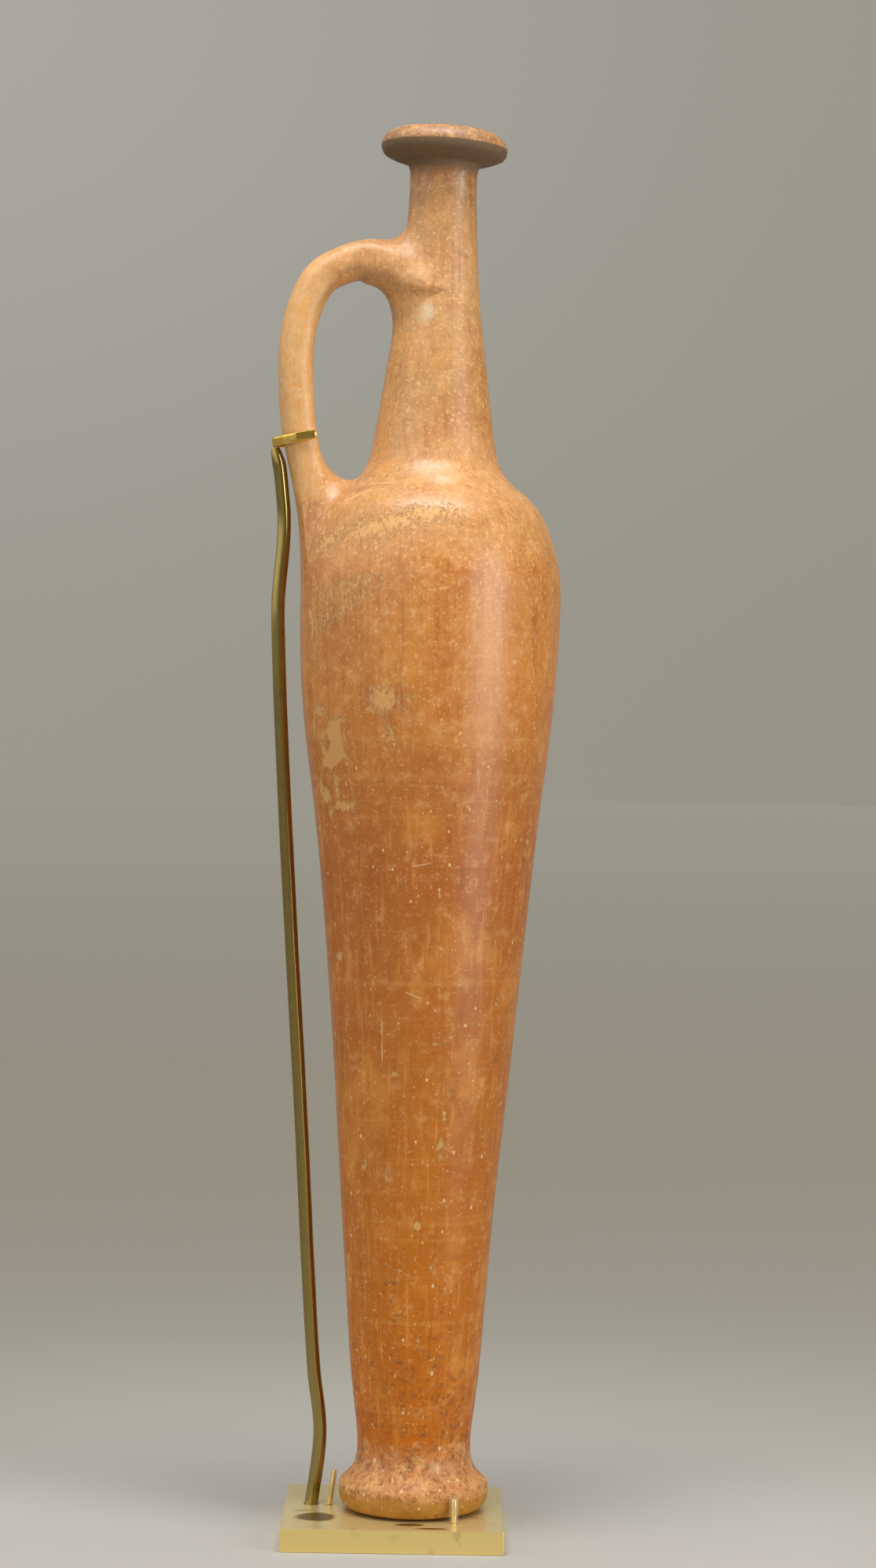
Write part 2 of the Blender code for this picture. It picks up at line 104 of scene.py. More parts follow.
def smooth_line(points: np.ndarray | list, steps: int = 12) -> np.ndarray:
    """Draws a smooth line through points.

    Each span is a centripetal Catmull-Rom piece: knots are spaced by the square root of the
    distance between points, and three rounds of straight blending give the curve.

    Args:
        points: rows of coordinates.
        steps: points to each span.

    Returns:
        Rows of coordinates along the line.
    """
    points = np.asarray(points, float)
    ends = np.vstack([2 * points[0] - points[1], points, 2 * points[-1] - points[-2]])
    knots = np.concatenate([[0], np.cumsum(np.linalg.norm(np.diff(ends, axis=0), axis=1) ** 0.5)])
    spans = []
    for i in range(len(points) - 1):
        t0, t1, t2, t3 = knots[i:i + 4]
        p0, p1, p2, p3 = ends[i:i + 4]
        t = np.linspace(t1, t2, steps, endpoint=False)[:, None]
        a1 = (t1 - t) / (t1 - t0) * p0 + (t - t0) / (t1 - t0) * p1
        a2 = (t2 - t) / (t2 - t1) * p1 + (t - t1) / (t2 - t1) * p2
        a3 = (t3 - t) / (t3 - t2) * p2 + (t - t2) / (t3 - t2) * p3
        b1 = (t2 - t) / (t2 - t0) * a1 + (t - t0) / (t2 - t0) * a2
        b2 = (t3 - t) / (t3 - t1) * a2 + (t - t1) / (t3 - t1) * a3
        spans.append((t2 - t) / (t2 - t1) * b1 + (t - t1) / (t2 - t1) * b2)
    return np.vstack(spans + [points[-1:]])


def spread_rows(line: np.ndarray, count: int, turn_weight: float = 0.5) -> np.ndarray:
    """Picks points along a fine line, closer together where it turns.

    The cost of a step is a mix of its share of the length and its share of all turning, and
    the points stand at equal costs.

    Args:
        line: rows of coordinates.
        count: how many points are wanted.
        turn_weight: how much turning counts, from 0 to 1.

    Returns:
        Count rows of coordinates.
    """
    step = np.diff(line, axis=0)
    length = np.linalg.norm(step, axis=1)
    direction = step / length[:, None]
    turn = np.arccos(np.clip((direction[1:] * direction[:-1]).sum(axis=1), -1, 1))
    turn = np.concatenate([turn, [0]])
    cost = (1 - turn_weight) * length / length.sum() + turn_weight * turn / max(turn.sum(), 1e-9)
    at = np.concatenate([[0], np.cumsum(cost)])
    wanted = np.linspace(0, at[-1], count)
    return np.column_stack([np.interp(wanted, at, line[:, k]) for k in range(line.shape[1])])


def directions(line: np.ndarray) -> np.ndarray:
    """Unit directions along a line: the difference of each point's neighbours over its length."""
    ahead = np.gradient(line, axis=0)
    return ahead / np.linalg.norm(ahead, axis=1)[:, None]


def oblong(turn: np.ndarray, power: float) -> np.ndarray:
    """Radius of a soft oblong: |cosine|^power plus |sine|^power, to the power -1 / power."""
    return (np.abs(np.cos(turn)) ** power + np.abs(np.sin(turn)) ** power) ** (-1 / power)


def smooth_step(value: np.ndarray, low: float, high: float) -> np.ndarray:
    """Rises from 0 at low to 1 at high as 3 t^2 - 2 t^3, and stays flat outside them."""
    t = np.clip((value - low) / (high - low), 0.0, 1.0)
    return t * t * (3.0 - 2.0 * t)


def waves(around: np.ndarray, along: np.ndarray, seed: int, count: int, turns: tuple[int, int],
          length: tuple[float, float]) -> np.ndarray:
    """Makes gentle unevenness that closes round a turned piece.

    It is a sum of cosines of m times the angle plus 2 pi times the height over a wavelength plus
    a phase, with whole m, divided by the square root of half their number.

    Args:
        around: angles in radians.
        along: heights in metres.
        seed: the seed of the random draw.
        count: how many cosines.
        turns: the lowest and highest m.
        length: the shortest and longest wavelength, in metres.

    Returns:
        Values of about -1 to 1, in the shape of the two inputs together.
    """
    draw = np.random.default_rng(seed)
    total = np.zeros(np.broadcast_shapes(around.shape, along.shape))
    for _ in range(count):
        m = int(draw.integers(turns[0], turns[1] + 1))
        pitch = draw.uniform(*length) * draw.choice([-1.0, 1.0])
        total += np.cos(m * around + TURN * along / pitch + draw.uniform(0, TURN))
    return total / math.sqrt(count / 2.0) / 2.0


@dataclass
class Shell:
    """The surfaces of one piece, gathered before they become a mesh."""

    points: list[np.ndarray] = field(default_factory=list)
    corners: list[np.ndarray] = field(default_factory=list)
    sizes: list[np.ndarray] = field(default_factory=list)
    count: int = 0

    def _faces(self, faces: np.ndarray) -> None:
        """Keeps faces, one row of vertex numbers each."""
        self.corners.append(faces.ravel())
        self.sizes.append(np.full(len(faces), faces.shape[1]))

    def grid(self, grid: np.ndarray, start: bool = False, end: bool = False,
             ring: bool = False) -> None:
        """Adds a grid of points whose rows are closed rings.

        Face (i, j) joins points (i, j), (i, j+1), (i+1, j+1) and (i+1, j), with j taken round, so
        it faces outwards where j runs anticlockwise seen against the direction of i.

        Args:
            grid: points as rows, columns, 3.
            start: whether the first row is closed by a fan about its middle.
            end: whether the last row is closed so.
            ring: whether the last row joins the first.
        """
        rows, columns = grid.shape[:2]
        number = self.count + np.arange(rows * columns).reshape(rows, columns)
        low, high = (number, np.roll(number, -1, axis=0)) if ring else (number[:-1], number[1:])
        faces = np.stack([low, np.roll(low, -1, axis=1), np.roll(high, -1, axis=1), high], axis=-1)
        self._faces(faces.reshape(-1, 4))
        self.points.append(grid.reshape(-1, 3))
        self.count += rows * columns
        for wanted, row, flip in ((start, 0, 1), (end, -1, 0)):
            if not wanted:
                continue
            edge = np.stack([number[row], np.roll(number[row], -1)], axis=-1)
            edge = edge[:, ::-1] if flip else edge
            middle = np.full((columns, 1), self.count)
            self._faces(np.hstack([middle, edge]))
            self.points.append(grid[row].mean(axis=0, keepdims=True))
            self.count += 1

    def vertices(self) -> np.ndarray:
        """All points so far, one row each."""
        return np.concatenate(self.points)

    def mesh(self, name: str, masks: dict[str, np.ndarray] | None = None,
             sharp: float = 60.0) -> bpy.types.Mesh:
        """Makes the mesh.

        Args:
            name: the mesh's name.
            masks: a value for each point under each attribute's name.
            sharp: edges that turn by more than this many degrees look sharp.

        Returns:
            The mesh, smooth shaded.
        """
        corners, sizes = np.concatenate(self.corners), np.concatenate(self.sizes)
        mesh = bpy.data.meshes.new(name)
        mesh.vertices.add(self.count)
        mesh.vertices.foreach_set("co", self.vertices().astype(np.float32).ravel())
        mesh.loops.add(len(corners))
        mesh.loops.foreach_set("vertex_index", corners.astype(np.int32))
        mesh.polygons.add(len(sizes))
        mesh.polygons.foreach_set("loop_start", (np.cumsum(sizes) - sizes).astype(np.int32))
        mesh.update(calc_edges=True)
        mesh.validate()
        mesh.shade_smooth()
        mesh.set_sharp_from_angle(angle=math.radians(sharp))
        for title, values in (masks or {}).items():
            layer = mesh.attributes.new(title, "FLOAT", "POINT")
            layer.data.foreach_set("value", values.astype(np.float32))
        return mesh


def add_node(tree: Tree, kind: str, settings: dict | None = None,
             inputs: dict | None = None) -> bpy.types.Node:
    """Adds one node with its settings and links.

    Args:
        tree: the node tree.
        kind: the node's type.
        settings: property names and values.
        inputs: socket names or numbers, each with a value or with the output linked to it.

    Returns:
        The node.
    """
    node = tree.nodes.new(kind)
    for title, value in (settings or {}).items():
        setattr(node, title, value)
    for title, value in (inputs or {}).items():
        if isinstance(value, Socket):
            tree.links.new(value, node.inputs[title])
        else:
            node.inputs[title].default_value = value
    return node


def maths(tree: Tree, operation: str, *values: float | Socket) -> Socket:
    """Adds one sum, product or the like of values and outputs, and gives its output."""
    return add_node(tree, "ShaderNodeMath", {"operation": operation},
                    dict(enumerate(values))).outputs[0]


def ranged(tree: Tree, value: Socket, low: float, high: float, start: float = 0.0,
           full: float = 1.0, soft: bool = False) -> Socket:
    """Maps a value that runs from low to high onto start to full, flat outside them.

    Args:
        tree: the node tree.
        value: the value.
        low: the value that gives start.
        high: the value that gives full.
        start: the first result.
        full: the last result.
        soft: whether it eases in and out.

    Returns:
        The result.
    """
    kind = {"interpolation_type": "SMOOTHSTEP" if soft else "LINEAR"}
    return add_node(tree, "ShaderNodeMapRange", kind, {
        "Value": value, "From Min": low, "From Max": high, "To Min": start,
        "To Max": full}).outputs[0]


def blended(tree: Tree, share: Socket, below: tuple | Socket, above: tuple | Socket) -> Socket:
    """Adds a mix of two colours by a share from 0 to 1, and gives its output."""
    return add_node(tree, "ShaderNodeMix", {"data_type": "RGBA"}, {
        0: share, 6: below, 7: above}).outputs[2]


def relief(tree: Tree, layers: tuple[tuple[Socket, float], ...]) -> Socket:
    """Lays patterns over one another as relief.

    Args:
        tree: the node tree.
        layers: each pattern with its depth in millimetres, negative where it is sunk.

    Returns:
        The normal.
    """
    below = {}
    for height, depth in layers:
        bump = add_node(tree, "ShaderNodeBump", {"invert": depth < 0}, {
            **below, "Height": height, "Distance": abs(depth) * MM})
        below = {"Normal": bump.outputs[0]}
    return below["Normal"]


def surface(tree: Tree, inputs: dict) -> None:
    """Ends a material's tree with the shader that takes these inputs."""
    shader = add_node(tree, "ShaderNodeBsdfPrincipled", inputs=inputs)
    add_node(tree, "ShaderNodeOutputMaterial", inputs={0: shader.outputs[0]})


def start_material(name: str) -> tuple[bpy.types.Material, Tree, Socket]:
    """Makes a material that has only its coordinates.

    Args:
        name: the material's name.

    Returns:
        The material, its node tree and its Object coordinates.
    """
    material = bpy.data.materials.new(name)
    material.use_nodes = True
    tree = material.node_tree
    tree.nodes.clear()
    return material, tree, add_node(tree, "ShaderNodeTexCoord").outputs["Object"]


def add_object(name: str, data: bpy.types.ID) -> bpy.types.Object:
    """Makes an object of a mesh, a light or a camera and links it to the scene."""
    made = bpy.data.objects.new(name, data)
    bpy.context.scene.collection.objects.link(made)
    return made


def place_piece(name: str, mesh: bpy.types.Mesh, material: bpy.types.Material,
                stands_for: str) -> bpy.types.Object:
    """Puts a finished mesh in the scene in place of its CAD node.

    Args:
        name: the piece's name.
        mesh: its mesh, in the model's frame.
        material: its finish.
        stands_for: the CAD node that it replaces.

    Returns:
        The piece.
    """
    piece = add_object(name, mesh)
    mesh.materials.append(material)
    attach(piece, "root")
    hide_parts(stands_for)
    LOG.info("%s: %d faces for %s", name, len(mesh.polygons), stands_for)
    return piece


@dataclass(frozen=True)
class PatternLayer:
    """A procedural pattern: its grain in millimetres and how it is stretched along each axis."""

    name: str
    size: float
    stretch: tuple[float, float, float] = (1.0, 1.0, 1.0)
    detail: float = 3.0
    roughness: float = 0.55
    shift: float = 0.0


@dataclass(frozen=True)
class Tint:
    """A colour laid over another where a pattern runs from one value to another."""

    pattern: str
    start: float
    full: float
    strength: float
    colour: str


def pattern_outputs(tree: Tree, place: Socket, layers: tuple[PatternLayer, ...]
                    ) -> dict[str, Socket]:
    """Adds a noise for each pattern.

    Args:
        tree: the node tree.
        place: the coordinates, in metres.
        layers: the patterns.

    Returns:
        Each pattern's value under its name.
    """
    made = {}
    for layer in layers:
        shifted = add_node(tree, "ShaderNodeMapping", inputs={
            "Vector": place, "Scale": layer.stretch, "Location": (layer.shift,) * 3})
        noise = add_node(tree, "ShaderNodeTexNoise", inputs={
            "Vector": shifted.outputs[0], "Scale": 1.0 / (layer.size * MM),
            "Detail": layer.detail, "Roughness": layer.roughness})
        made[layer.name] = noise.outputs[0]
    return made


def tinted(tree: Tree, colour: Socket, patterns: dict[str, Socket],
           tints: tuple[Tint, ...]) -> Socket:
    """Lays tints over a colour, one after another.

    Args:
        tree: the node tree.
        colour: the colour below.
        patterns: the values that the tints read.
        tints: the tints, from the lowest.

    Returns:
        The colour after the last tint.
    """
    for tint in tints:
        share = ranged(tree, patterns[tint.pattern], tint.start, tint.full, 0.0, tint.strength,
                       soft=True)
        colour = blended(tree, share, colour, linear(tint.colour))
    return colour


def colour_steps(tree: Tree, value: Socket, steps: tuple[tuple[float, str], ...]) -> Socket:
    """Colours that change along a value.

    Args:
        tree: the node tree.
        value: the value.
        steps: values in rising order, each with its colour.

    Returns:
        The colour.
    """
    low, high = steps[0][0], steps[-1][0]
    ramp = add_node(tree, "ShaderNodeValToRGB", inputs={0: ranged(tree, value, low, high)})
    stops = ramp.color_ramp.elements
    while len(stops) < len(steps):
        stops.new(0.5)
    for stop, (at, code) in zip(stops, steps):
        stop.position = (at - low) / (high - low)
        stop.color = linear(code)
    return ramp.outputs[0]


def oval_share(tree: Tree, place: Socket, ragged: Socket, centre: tuple, turn: tuple,
               half: tuple) -> Socket:
    """How far a point lies inside a ragged oval, from 0 to 1.

    Args:
        tree: the node tree.
        place: the coordinates, in metres.
        ragged: a pattern that frays the edge.
        centre: the oval's middle.
        turn: its turn about each axis, in radians.
        half: its half sizes along its own axes.

    Returns:
        The share.
    """
    local = add_node(tree, "ShaderNodeMapping", {"vector_type": "TEXTURE"}, {
        "Vector": place, "Location": centre, "Rotation": turn, "Scale": half})
    away = add_node(tree, "ShaderNodeVectorMath", {"operation": "LENGTH"}, {0: local.outputs[0]})
    frayed = maths(tree, "MULTIPLY_ADD", ragged, FRAY, away.outputs["Value"])
    return ranged(tree, frayed, *FRAYED_EDGE)


@dataclass(frozen=True)
class Landing:
    """How the clay at one end of the handle runs out over the wall.

    It lands on an oval. Outer is the handle's outward side and inner the side of its loop, and
    each has the oval's rise from its middle, a further reach at its very end, and how strongly the
    clay holds its direction on leaving the handle and on meeting the wall. Spread is half the
    oval's angle round the wall, in degrees.
    """

    middle: float
    outer: float
    inner: float
    outer_end: float
    inner_end: float
    spread: float
    leave: tuple[float, float]
    meet: tuple[float, float]


@dataclass
class Bottle:
    """The fired clay bottle: its turned wall, its hollow, its strap handle and its wear."""

    offset: float = 0.0068
    base: float = 0.0082
    touch_gap: float = 0.0003
    foot_ring_radius: float = 0.0210
    foot_radius: float = 0.0265
    foot_widest: float = 0.0072
    foot_hollow: float = 0.0014
    waist_radius: float = 0.0201
    waist_height: float = 0.0227
    belly_radius: float = 0.0459
    belly_height: float = 0.3180
    neck_root_radius: float = 0.0212
    neck_root_height: float = 0.3734
    neck_radius: float = 0.0117
    neck_top_height: float = 0.4609
    rim_radius: float = 0.02205
    rim_height: float = 0.4738
    lip_height: float = 0.47948
    dish_depth: float = 0.0075
    rim_tilt: float = math.radians(2.5)
    top_shift: float = 0.0037
    body_wall: float = 0.0055
    throat_radius: float = 0.0070
    floor_thickness: float = 0.0090
    handle_thickness: float = 0.0123
    handle_width: float = 0.0150
    handle_reach: float = 0.0494
    handle_side: float = math.radians(188.0)
    handle_top_height: float = 0.4329
    columns: int = 216
    outer_rows: int = 350
    inner_rows: int = 60
    handle_rows: int = 72
    handle_columns: int = 56
    skirt_rows: int = 16
    middle_radius: float = 0.0003
    # Unevenness: the size in millimetres, then the seed, number, turns and wavelengths of the slow
    # out-of-round, the dents, the throwing rings and the burnishing facets.
    uneven_waves: tuple = ((0.22, 3, 8, (2, 3), (0.20, 0.50)), (0.16, 7, 26, (2, 7), (0.05, 0.16)),
                           (0.035, 11, 14, (0, 1), (0.0032, 0.0062)),
                           (0.035, 19, 18, (26, 46), (0.09, 0.40)))
    uneven_most: tuple[float, float] = (0.30, 0.03)
    neck_calm: float = 0.75
    lip_calm: float = 0.5
    rings_end: float = 0.002
    # The strap: shares of the handle's reach where it starts and is its outer leg, its lower end
    # above the belly, its section's power, its rows' pitch, how uneven it is and by how much it is
    # taken in for that, and the lip at its upper root's front, with the parts of the turn's sine
    # and cosine that it rises over.
    strap_start_share: float = 0.50
    strap_outer_share: float = 0.60
    strap_end_rise: float = 0.0480
    strap_power: float = 2.5
    strap_pitch: float = 0.0016
    strap_uneven: float = 0.018
    strap_taken_in: float = 0.02
    strap_lip: float = 0.0011
    strap_lip_run: tuple = ((0.1, 0.8), (-0.35, 0.1))
    skirt_sink: float = 0.00012
    # Wear on the whole of a part: rises above the neck's top and the rim's edge for the grime and
    # painted shade under the flange, shares of the belly's radius, depths in millimetres, and how
    # thick the slip is.
    grime_and_shade_start: tuple[float, float] = (0.0010, 0.0070)
    grime_and_shade_end: tuple[float, float] = (0.0002, 0.0009)
    handle_rise: float = 0.030
    pale_reach: tuple[float, float] = (0.75, 0.95)
    pale_depth: tuple[float, float] = (-1.5, 1.6)
    palm_reach: float = 0.80
    worn_edge: tuple[float, float] = (-0.2, 0.5)
    slip_thickness: float = 0.00012

    body_shape: tuple = ((.09, .107), (.28, .266), (.465, .440), (.65, .634), (.76, .770),
                         (.835, .883), (.91, .962))
    shoulder_shape: tuple = ((.12, .014), (.31, .105), (.51, .287), (.61, .474), (.71, .735),
                             (.80, .888), (.90, .960))
    neck_shape: tuple = ((.125, .18), (.31, .42), (.56, .745), (.81, .925))
    foot_shape: tuple = ((.15, .06), (.30, .43), (.47, .76), (.65, .92))
    flange_shape: tuple = ((.45, .03), (.575, .12), (.65, .40), (.74, .72), (.83, .92))
    lip_shape: tuple = ((.985, .37), (.91, .77), (.78, 1.0))
    dish_shape: tuple = ((.68, .05), (.50, .48))
    throat_edge: float = 0.92
    toe_shape: tuple = ((.92, .50), (.60, .15))
    underside_shape: tuple = (.8, .6)
    upper_root: Landing = Landing(0.4236, 0.0234, 0.0036, 0.0035, 0.0160, 100.0, (1.9, 1.1),
                                  (0.9, 1.5))
    lower_root: Landing = Landing(0.3404, -0.0330, -0.0190, 0.0, 0.0, 27.0, (1.3, 1.5), (1.2, 1.1))
    axis_wander: tuple = ((0, 0), (.21, .03), (.42, .32), (.66, .30), (.78, .43), (.95, .92),
                          (1, 1))
    handle_shape: tuple = (
        (.06, .990, 1.58), (.20, .993, 1.80), (.35, .994, 1.71), (.556, 1.010, 1.17),
        (.734, .985, 1.08), (.853, .948, 1.05), (.945, .870, 1.02), (.993, .763, 1.00),
        (.990, .620, 1.00), (.952, .480, .99), (.915, .410, .98), (.860, .345, 1.16),
        (.771, .276, 1.70), (.750, .198, 1.60), (.730, .112, 1.58), (.725, .034, 1.45))

    def outline(self) -> np.ndarray:
        """The outside, from the middle of the mouth's dish to the underside.

        Returns:
            Rows of radius and height.
        """
        def span(shape: tuple, low: float, high: float, first: float, last: float) -> list:
            """Shares of a rise and of a change turned into points, from the top down."""
            return [(first + (last - first) * out, low + (high - low) * up)
                    for up, out in shape[::-1]]

        lip, top, dish = self.rim_radius, self.lip_height, self.dish_depth
        toe = self.foot_radius - self.foot_ring_radius
        down = [(self.throat_radius + self.touch_gap, top - self.throat_edge * dish)]
        down += [(lip * out, top - dish * depth) for out, depth in self.dish_shape[::-1]]
        down += [(lip * out, self.rim_height + (top - self.rim_height) * up)
                 for out, up in self.lip_shape[::-1]]
        down += [(lip, self.rim_height)]
        down += span(self.flange_shape, self.neck_top_height, self.rim_height,
                     self.neck_radius, lip)
        down += [(self.neck_radius, self.neck_top_height)]
        down += span(self.neck_shape, self.neck_root_height, self.neck_top_height,
                     self.neck_root_radius, self.neck_radius)
        down += [(self.neck_root_radius, self.neck_root_height)]
        down += span(self.shoulder_shape, self.belly_height, self.neck_root_height,
                     self.belly_radius, self.neck_root_radius)
        down += [(self.belly_radius, self.belly_height)]
        down += span(self.body_shape, self.waist_height, self.belly_height,
                     self.waist_radius, self.belly_radius)
        down += [(self.waist_radius, self.waist_height)]
        down += span(self.foot_shape, self.foot_widest, self.waist_height,
                     self.foot_radius, self.waist_radius)
        down += [(self.foot_radius, self.foot_widest)]
        down += [(self.foot_ring_radius + toe * out, self.foot_widest * up)
                 for out, up in self.toe_shape]
        ring, depth = self.underside_shape
        down += [(self.foot_ring_radius, 0.0),
                 (ring * self.foot_ring_radius, depth * self.foot_hollow),
                 (self.middle_radius, self.foot_hollow)]
        return smooth_line(down)

    def side(self) -> np.ndarray:
        """The outline between the waist and the top of the neck, from the top down."""
        line = self.outline()
        return line[(line[:, 1] <= self.neck_top_height) & (line[:, 1] >= self.waist_height)]

    def wander(self, height: np.ndarray) -> np.ndarray:
        """Sideways shift of the axis at each height, along a smooth line of shares."""
        line = smooth_line(self.axis_wander)
        return np.interp(height, line[:, 0] * self.lip_height, line[:, 1] * self.top_shift)

    def inside(self) -> np.ndarray:
        """The hollow, from under the dish down to the floor.

        Each point of the side moves square to it by the wall's thickness, which thins along the
        neck, and a quarter ellipse closes the floor.

        Returns:
            Rows of radius and height.
        """
        side = self.side()
        tangent = directions(side)
        inward = np.column_stack([tangent[:, 1], -tangent[:, 0]])
        share = np.clip((side[:, 1] - self.neck_root_height)
                        / (self.neck_top_height - self.neck_root_height), 0, 1)
        wall = self.body_wall + share * (self.neck_radius - self.throat_radius - self.body_wall)
        line = side + inward * wall[:, None]
        turn = np.linspace(0, 0.5 * math.pi, 12)[1:]
        radius, height = line[-1]
        bowl = np.column_stack([radius * np.cos(turn),
                                height - (height - self.floor_thickness) * np.sin(turn)])
        bowl[-1, 0] = self.middle_radius
        top = self.lip_height - self.throat_edge * self.dish_depth - 2 * self.touch_gap
        return np.vstack([[(self.throat_radius, top)], line, bowl])

    def unevenness(self, angle: np.ndarray, height: np.ndarray) -> np.ndarray:
        """How far the hand-thrown wall lies inside its true circle.

        It adds a slow out-of-round, dents a few centimetres wide, rings from the throwing, about
        4 mm apart, and upright facets from the burnishing pebble, about 6 mm wide, and is taken
        down by its own largest value.

        Args:
            angle: angles, in radians.
            height: heights.

        Returns:
            Changes of radius in metres, hardly ever above nought.
        """
        slow, dents, rings, facets = (size * waves(angle, height, *draw)
                                      for size, *draw in self.uneven_waves)
        calm = 1 - self.neck_calm * smooth_step(height, self.neck_root_height,
                                                self.neck_top_height)
        rings = rings * (1 - smooth_step(height, self.rim_height, self.rim_height + self.rings_end))
        most, most_rings = self.uneven_most
        return MM * (calm * (slow + dents + facets) + rings - most * calm - most_rings)

    def wall_radius(self, angle: np.ndarray, height: np.ndarray) -> np.ndarray:
        """Outer radius of the uneven wall between the waist and the top of the neck."""
        side = self.side()[::-1]
        return np.interp(height, side[:, 1], side[:, 0]) + self.unevenness(angle, height)

    def to_frame(self, radius: np.ndarray, angle: np.ndarray, height: np.ndarray) -> np.ndarray:
        """Turns a radius, an angle and a height into points in the model's frame.

        The axis is shifted by its wander, and above the neck each point sinks by its own X times
        the tangent of the rim's tilt, brought in by a smooth step.

        Args:
            radius: distances from the axis.
            angle: angles, in radians.
            height: heights.

        Returns:
            Points as (..., 3).
        """
        x, y = radius * np.cos(angle), radius * np.sin(angle)
        tilt = smooth_step(height, self.neck_top_height, self.rim_height)
        z = height - tilt * math.tan(self.rim_tilt) * x
        return np.stack([x + self.wander(height) + self.offset, y + 0 * height, z + self.base], -1)

    def turned_wall(self) -> np.ndarray:
        """The wall as one closed grid: up the outside, over the lip and down the hollow.

        Row i is a point of the profile and column j an angle; the outside's radius takes the
        unevenness, and the hollow's none.

        Returns:
            Points as (rows, columns, 3).
        """
        outer = spread_rows(self.outline(), self.outer_rows, turn_weight=0.30)[::-1]
        inner = spread_rows(self.inside(), self.inner_rows, turn_weight=0.40)
        profile = np.vstack([outer, inner])
        angle = np.linspace(0, TURN, self.columns, endpoint=False)[None, :]
        radius, height = profile[:, :1], profile[:, 1:]
        uneven = self.unevenness(angle, height)
        uneven[self.outer_rows:] = 0.0
        share = smooth_step(radius, 0.4 * self.foot_ring_radius, self.foot_ring_radius)
        share = np.where(height > self.rim_height, self.lip_calm * share, share)
        return self.to_frame(radius + share * uneven, angle, height)

    def handle_line(self) -> np.ndarray:
        """The handle's middle line, from the neck to the shoulder.

        Returns:
            Rows of reach, height and half thickness.
        """
        rise = self.handle_top_height - self.belly_height
        shape = np.array(self.handle_shape)
        return smooth_line(np.column_stack([self.handle_reach * shape[:, 0],
                                            self.belly_height + rise * shape[:, 1],
                                            0.5 * self.handle_thickness * shape[:, 2]]))

    def wall_point(self, around: np.ndarray, height: np.ndarray, lift: float) -> np.ndarray:
        """Points on the wall as (reach, across, height) seen from the handle's side.

        Args:
            around: angles from the handle's side, in radians.
            height: heights.
            lift: how far off the wall, in metres.

        Returns:
            Points as (..., 3).
        """
        radius = self.wall_radius(around + self.handle_side, height) + lift
        return np.stack([radius * np.cos(around), radius * np.sin(around), height + 0 * around], -1)

    def skirt(self, ring: np.ndarray, tangent: np.ndarray, landing: Landing, turn: np.ndarray,
              lip: np.ndarray) -> np.ndarray:
        """The clay that runs from the handle's end out over the wall.

        Each line is a cubic Hermite piece: it leaves the ring along the handle and lands on an
        oval of the wall, along the wall. The oval's angle is minus the spread times the sine of
        turn, and its height is the middle, plus the cosine times the outer or inner rise, plus the
        cosine's seventh power times the further reach of that side.

        Args:
            ring: the handle's end ring as (reach, across, height).
            tangent: the handle's direction at the ring, away from the handle.
            landing: the oval.
            turn: the ring's own angles.
            lip: how proud of the wall the edge stands at each angle, in metres.

        Returns:
            Rows from the ring outwards as (rows, columns, 3).
        """
        lean = np.cos(turn)
        rise = np.where(lean > 0, landing.outer, landing.inner) * lean
        rise += np.where(lean > 0, landing.outer_end, landing.inner_end) * lean ** 7
        spread = math.radians(landing.spread)

        def oval(share: float) -> np.ndarray:
            """The landing oval, shrunk to a share of itself."""
            return self.wall_point(-spread * np.sin(turn) * share, landing.middle + rise * share,
                                   -self.skirt_sink)

        side = (0.5 + 0.5 * lean)[:, None]
        land = oval(1.0)
        arrive = land - oval(0.93)
        gap = np.linalg.norm(land - ring, axis=1, keepdims=True)
        arrive *= gap * (side * landing.meet[0] + (1 - side) * landing.meet[1]) / np.linalg.norm(
            arrive, axis=1, keepdims=True)
        start = gap * (side * landing.leave[0] + (1 - side) * landing.leave[1]) * tangent
        t = np.linspace(0, 1, self.skirt_rows)[1:, None, None]
        curve = ((2 * t ** 3 - 3 * t ** 2 + 1) * ring + (t ** 3 - 2 * t ** 2 + t) * start
                 + (3 * t ** 2 - 2 * t ** 3) * land + (t ** 3 - t ** 2) * arrive)
        around = np.arctan2(curve[..., 1], curve[..., 0])
        out = np.stack([np.cos(around), np.sin(around), 0 * around], -1)
        floor = self.wall_radius(around + self.handle_side, curve[..., 2])
        short = np.clip(floor - 0.0001 - np.hypot(curve[..., 0], curve[..., 1]), 0, None)
        proud = lip[None, :, None] * (1 - t ** 10) * smooth_step(t, 0.2, 0.8)
        return curve + out * (short[..., None] + proud)

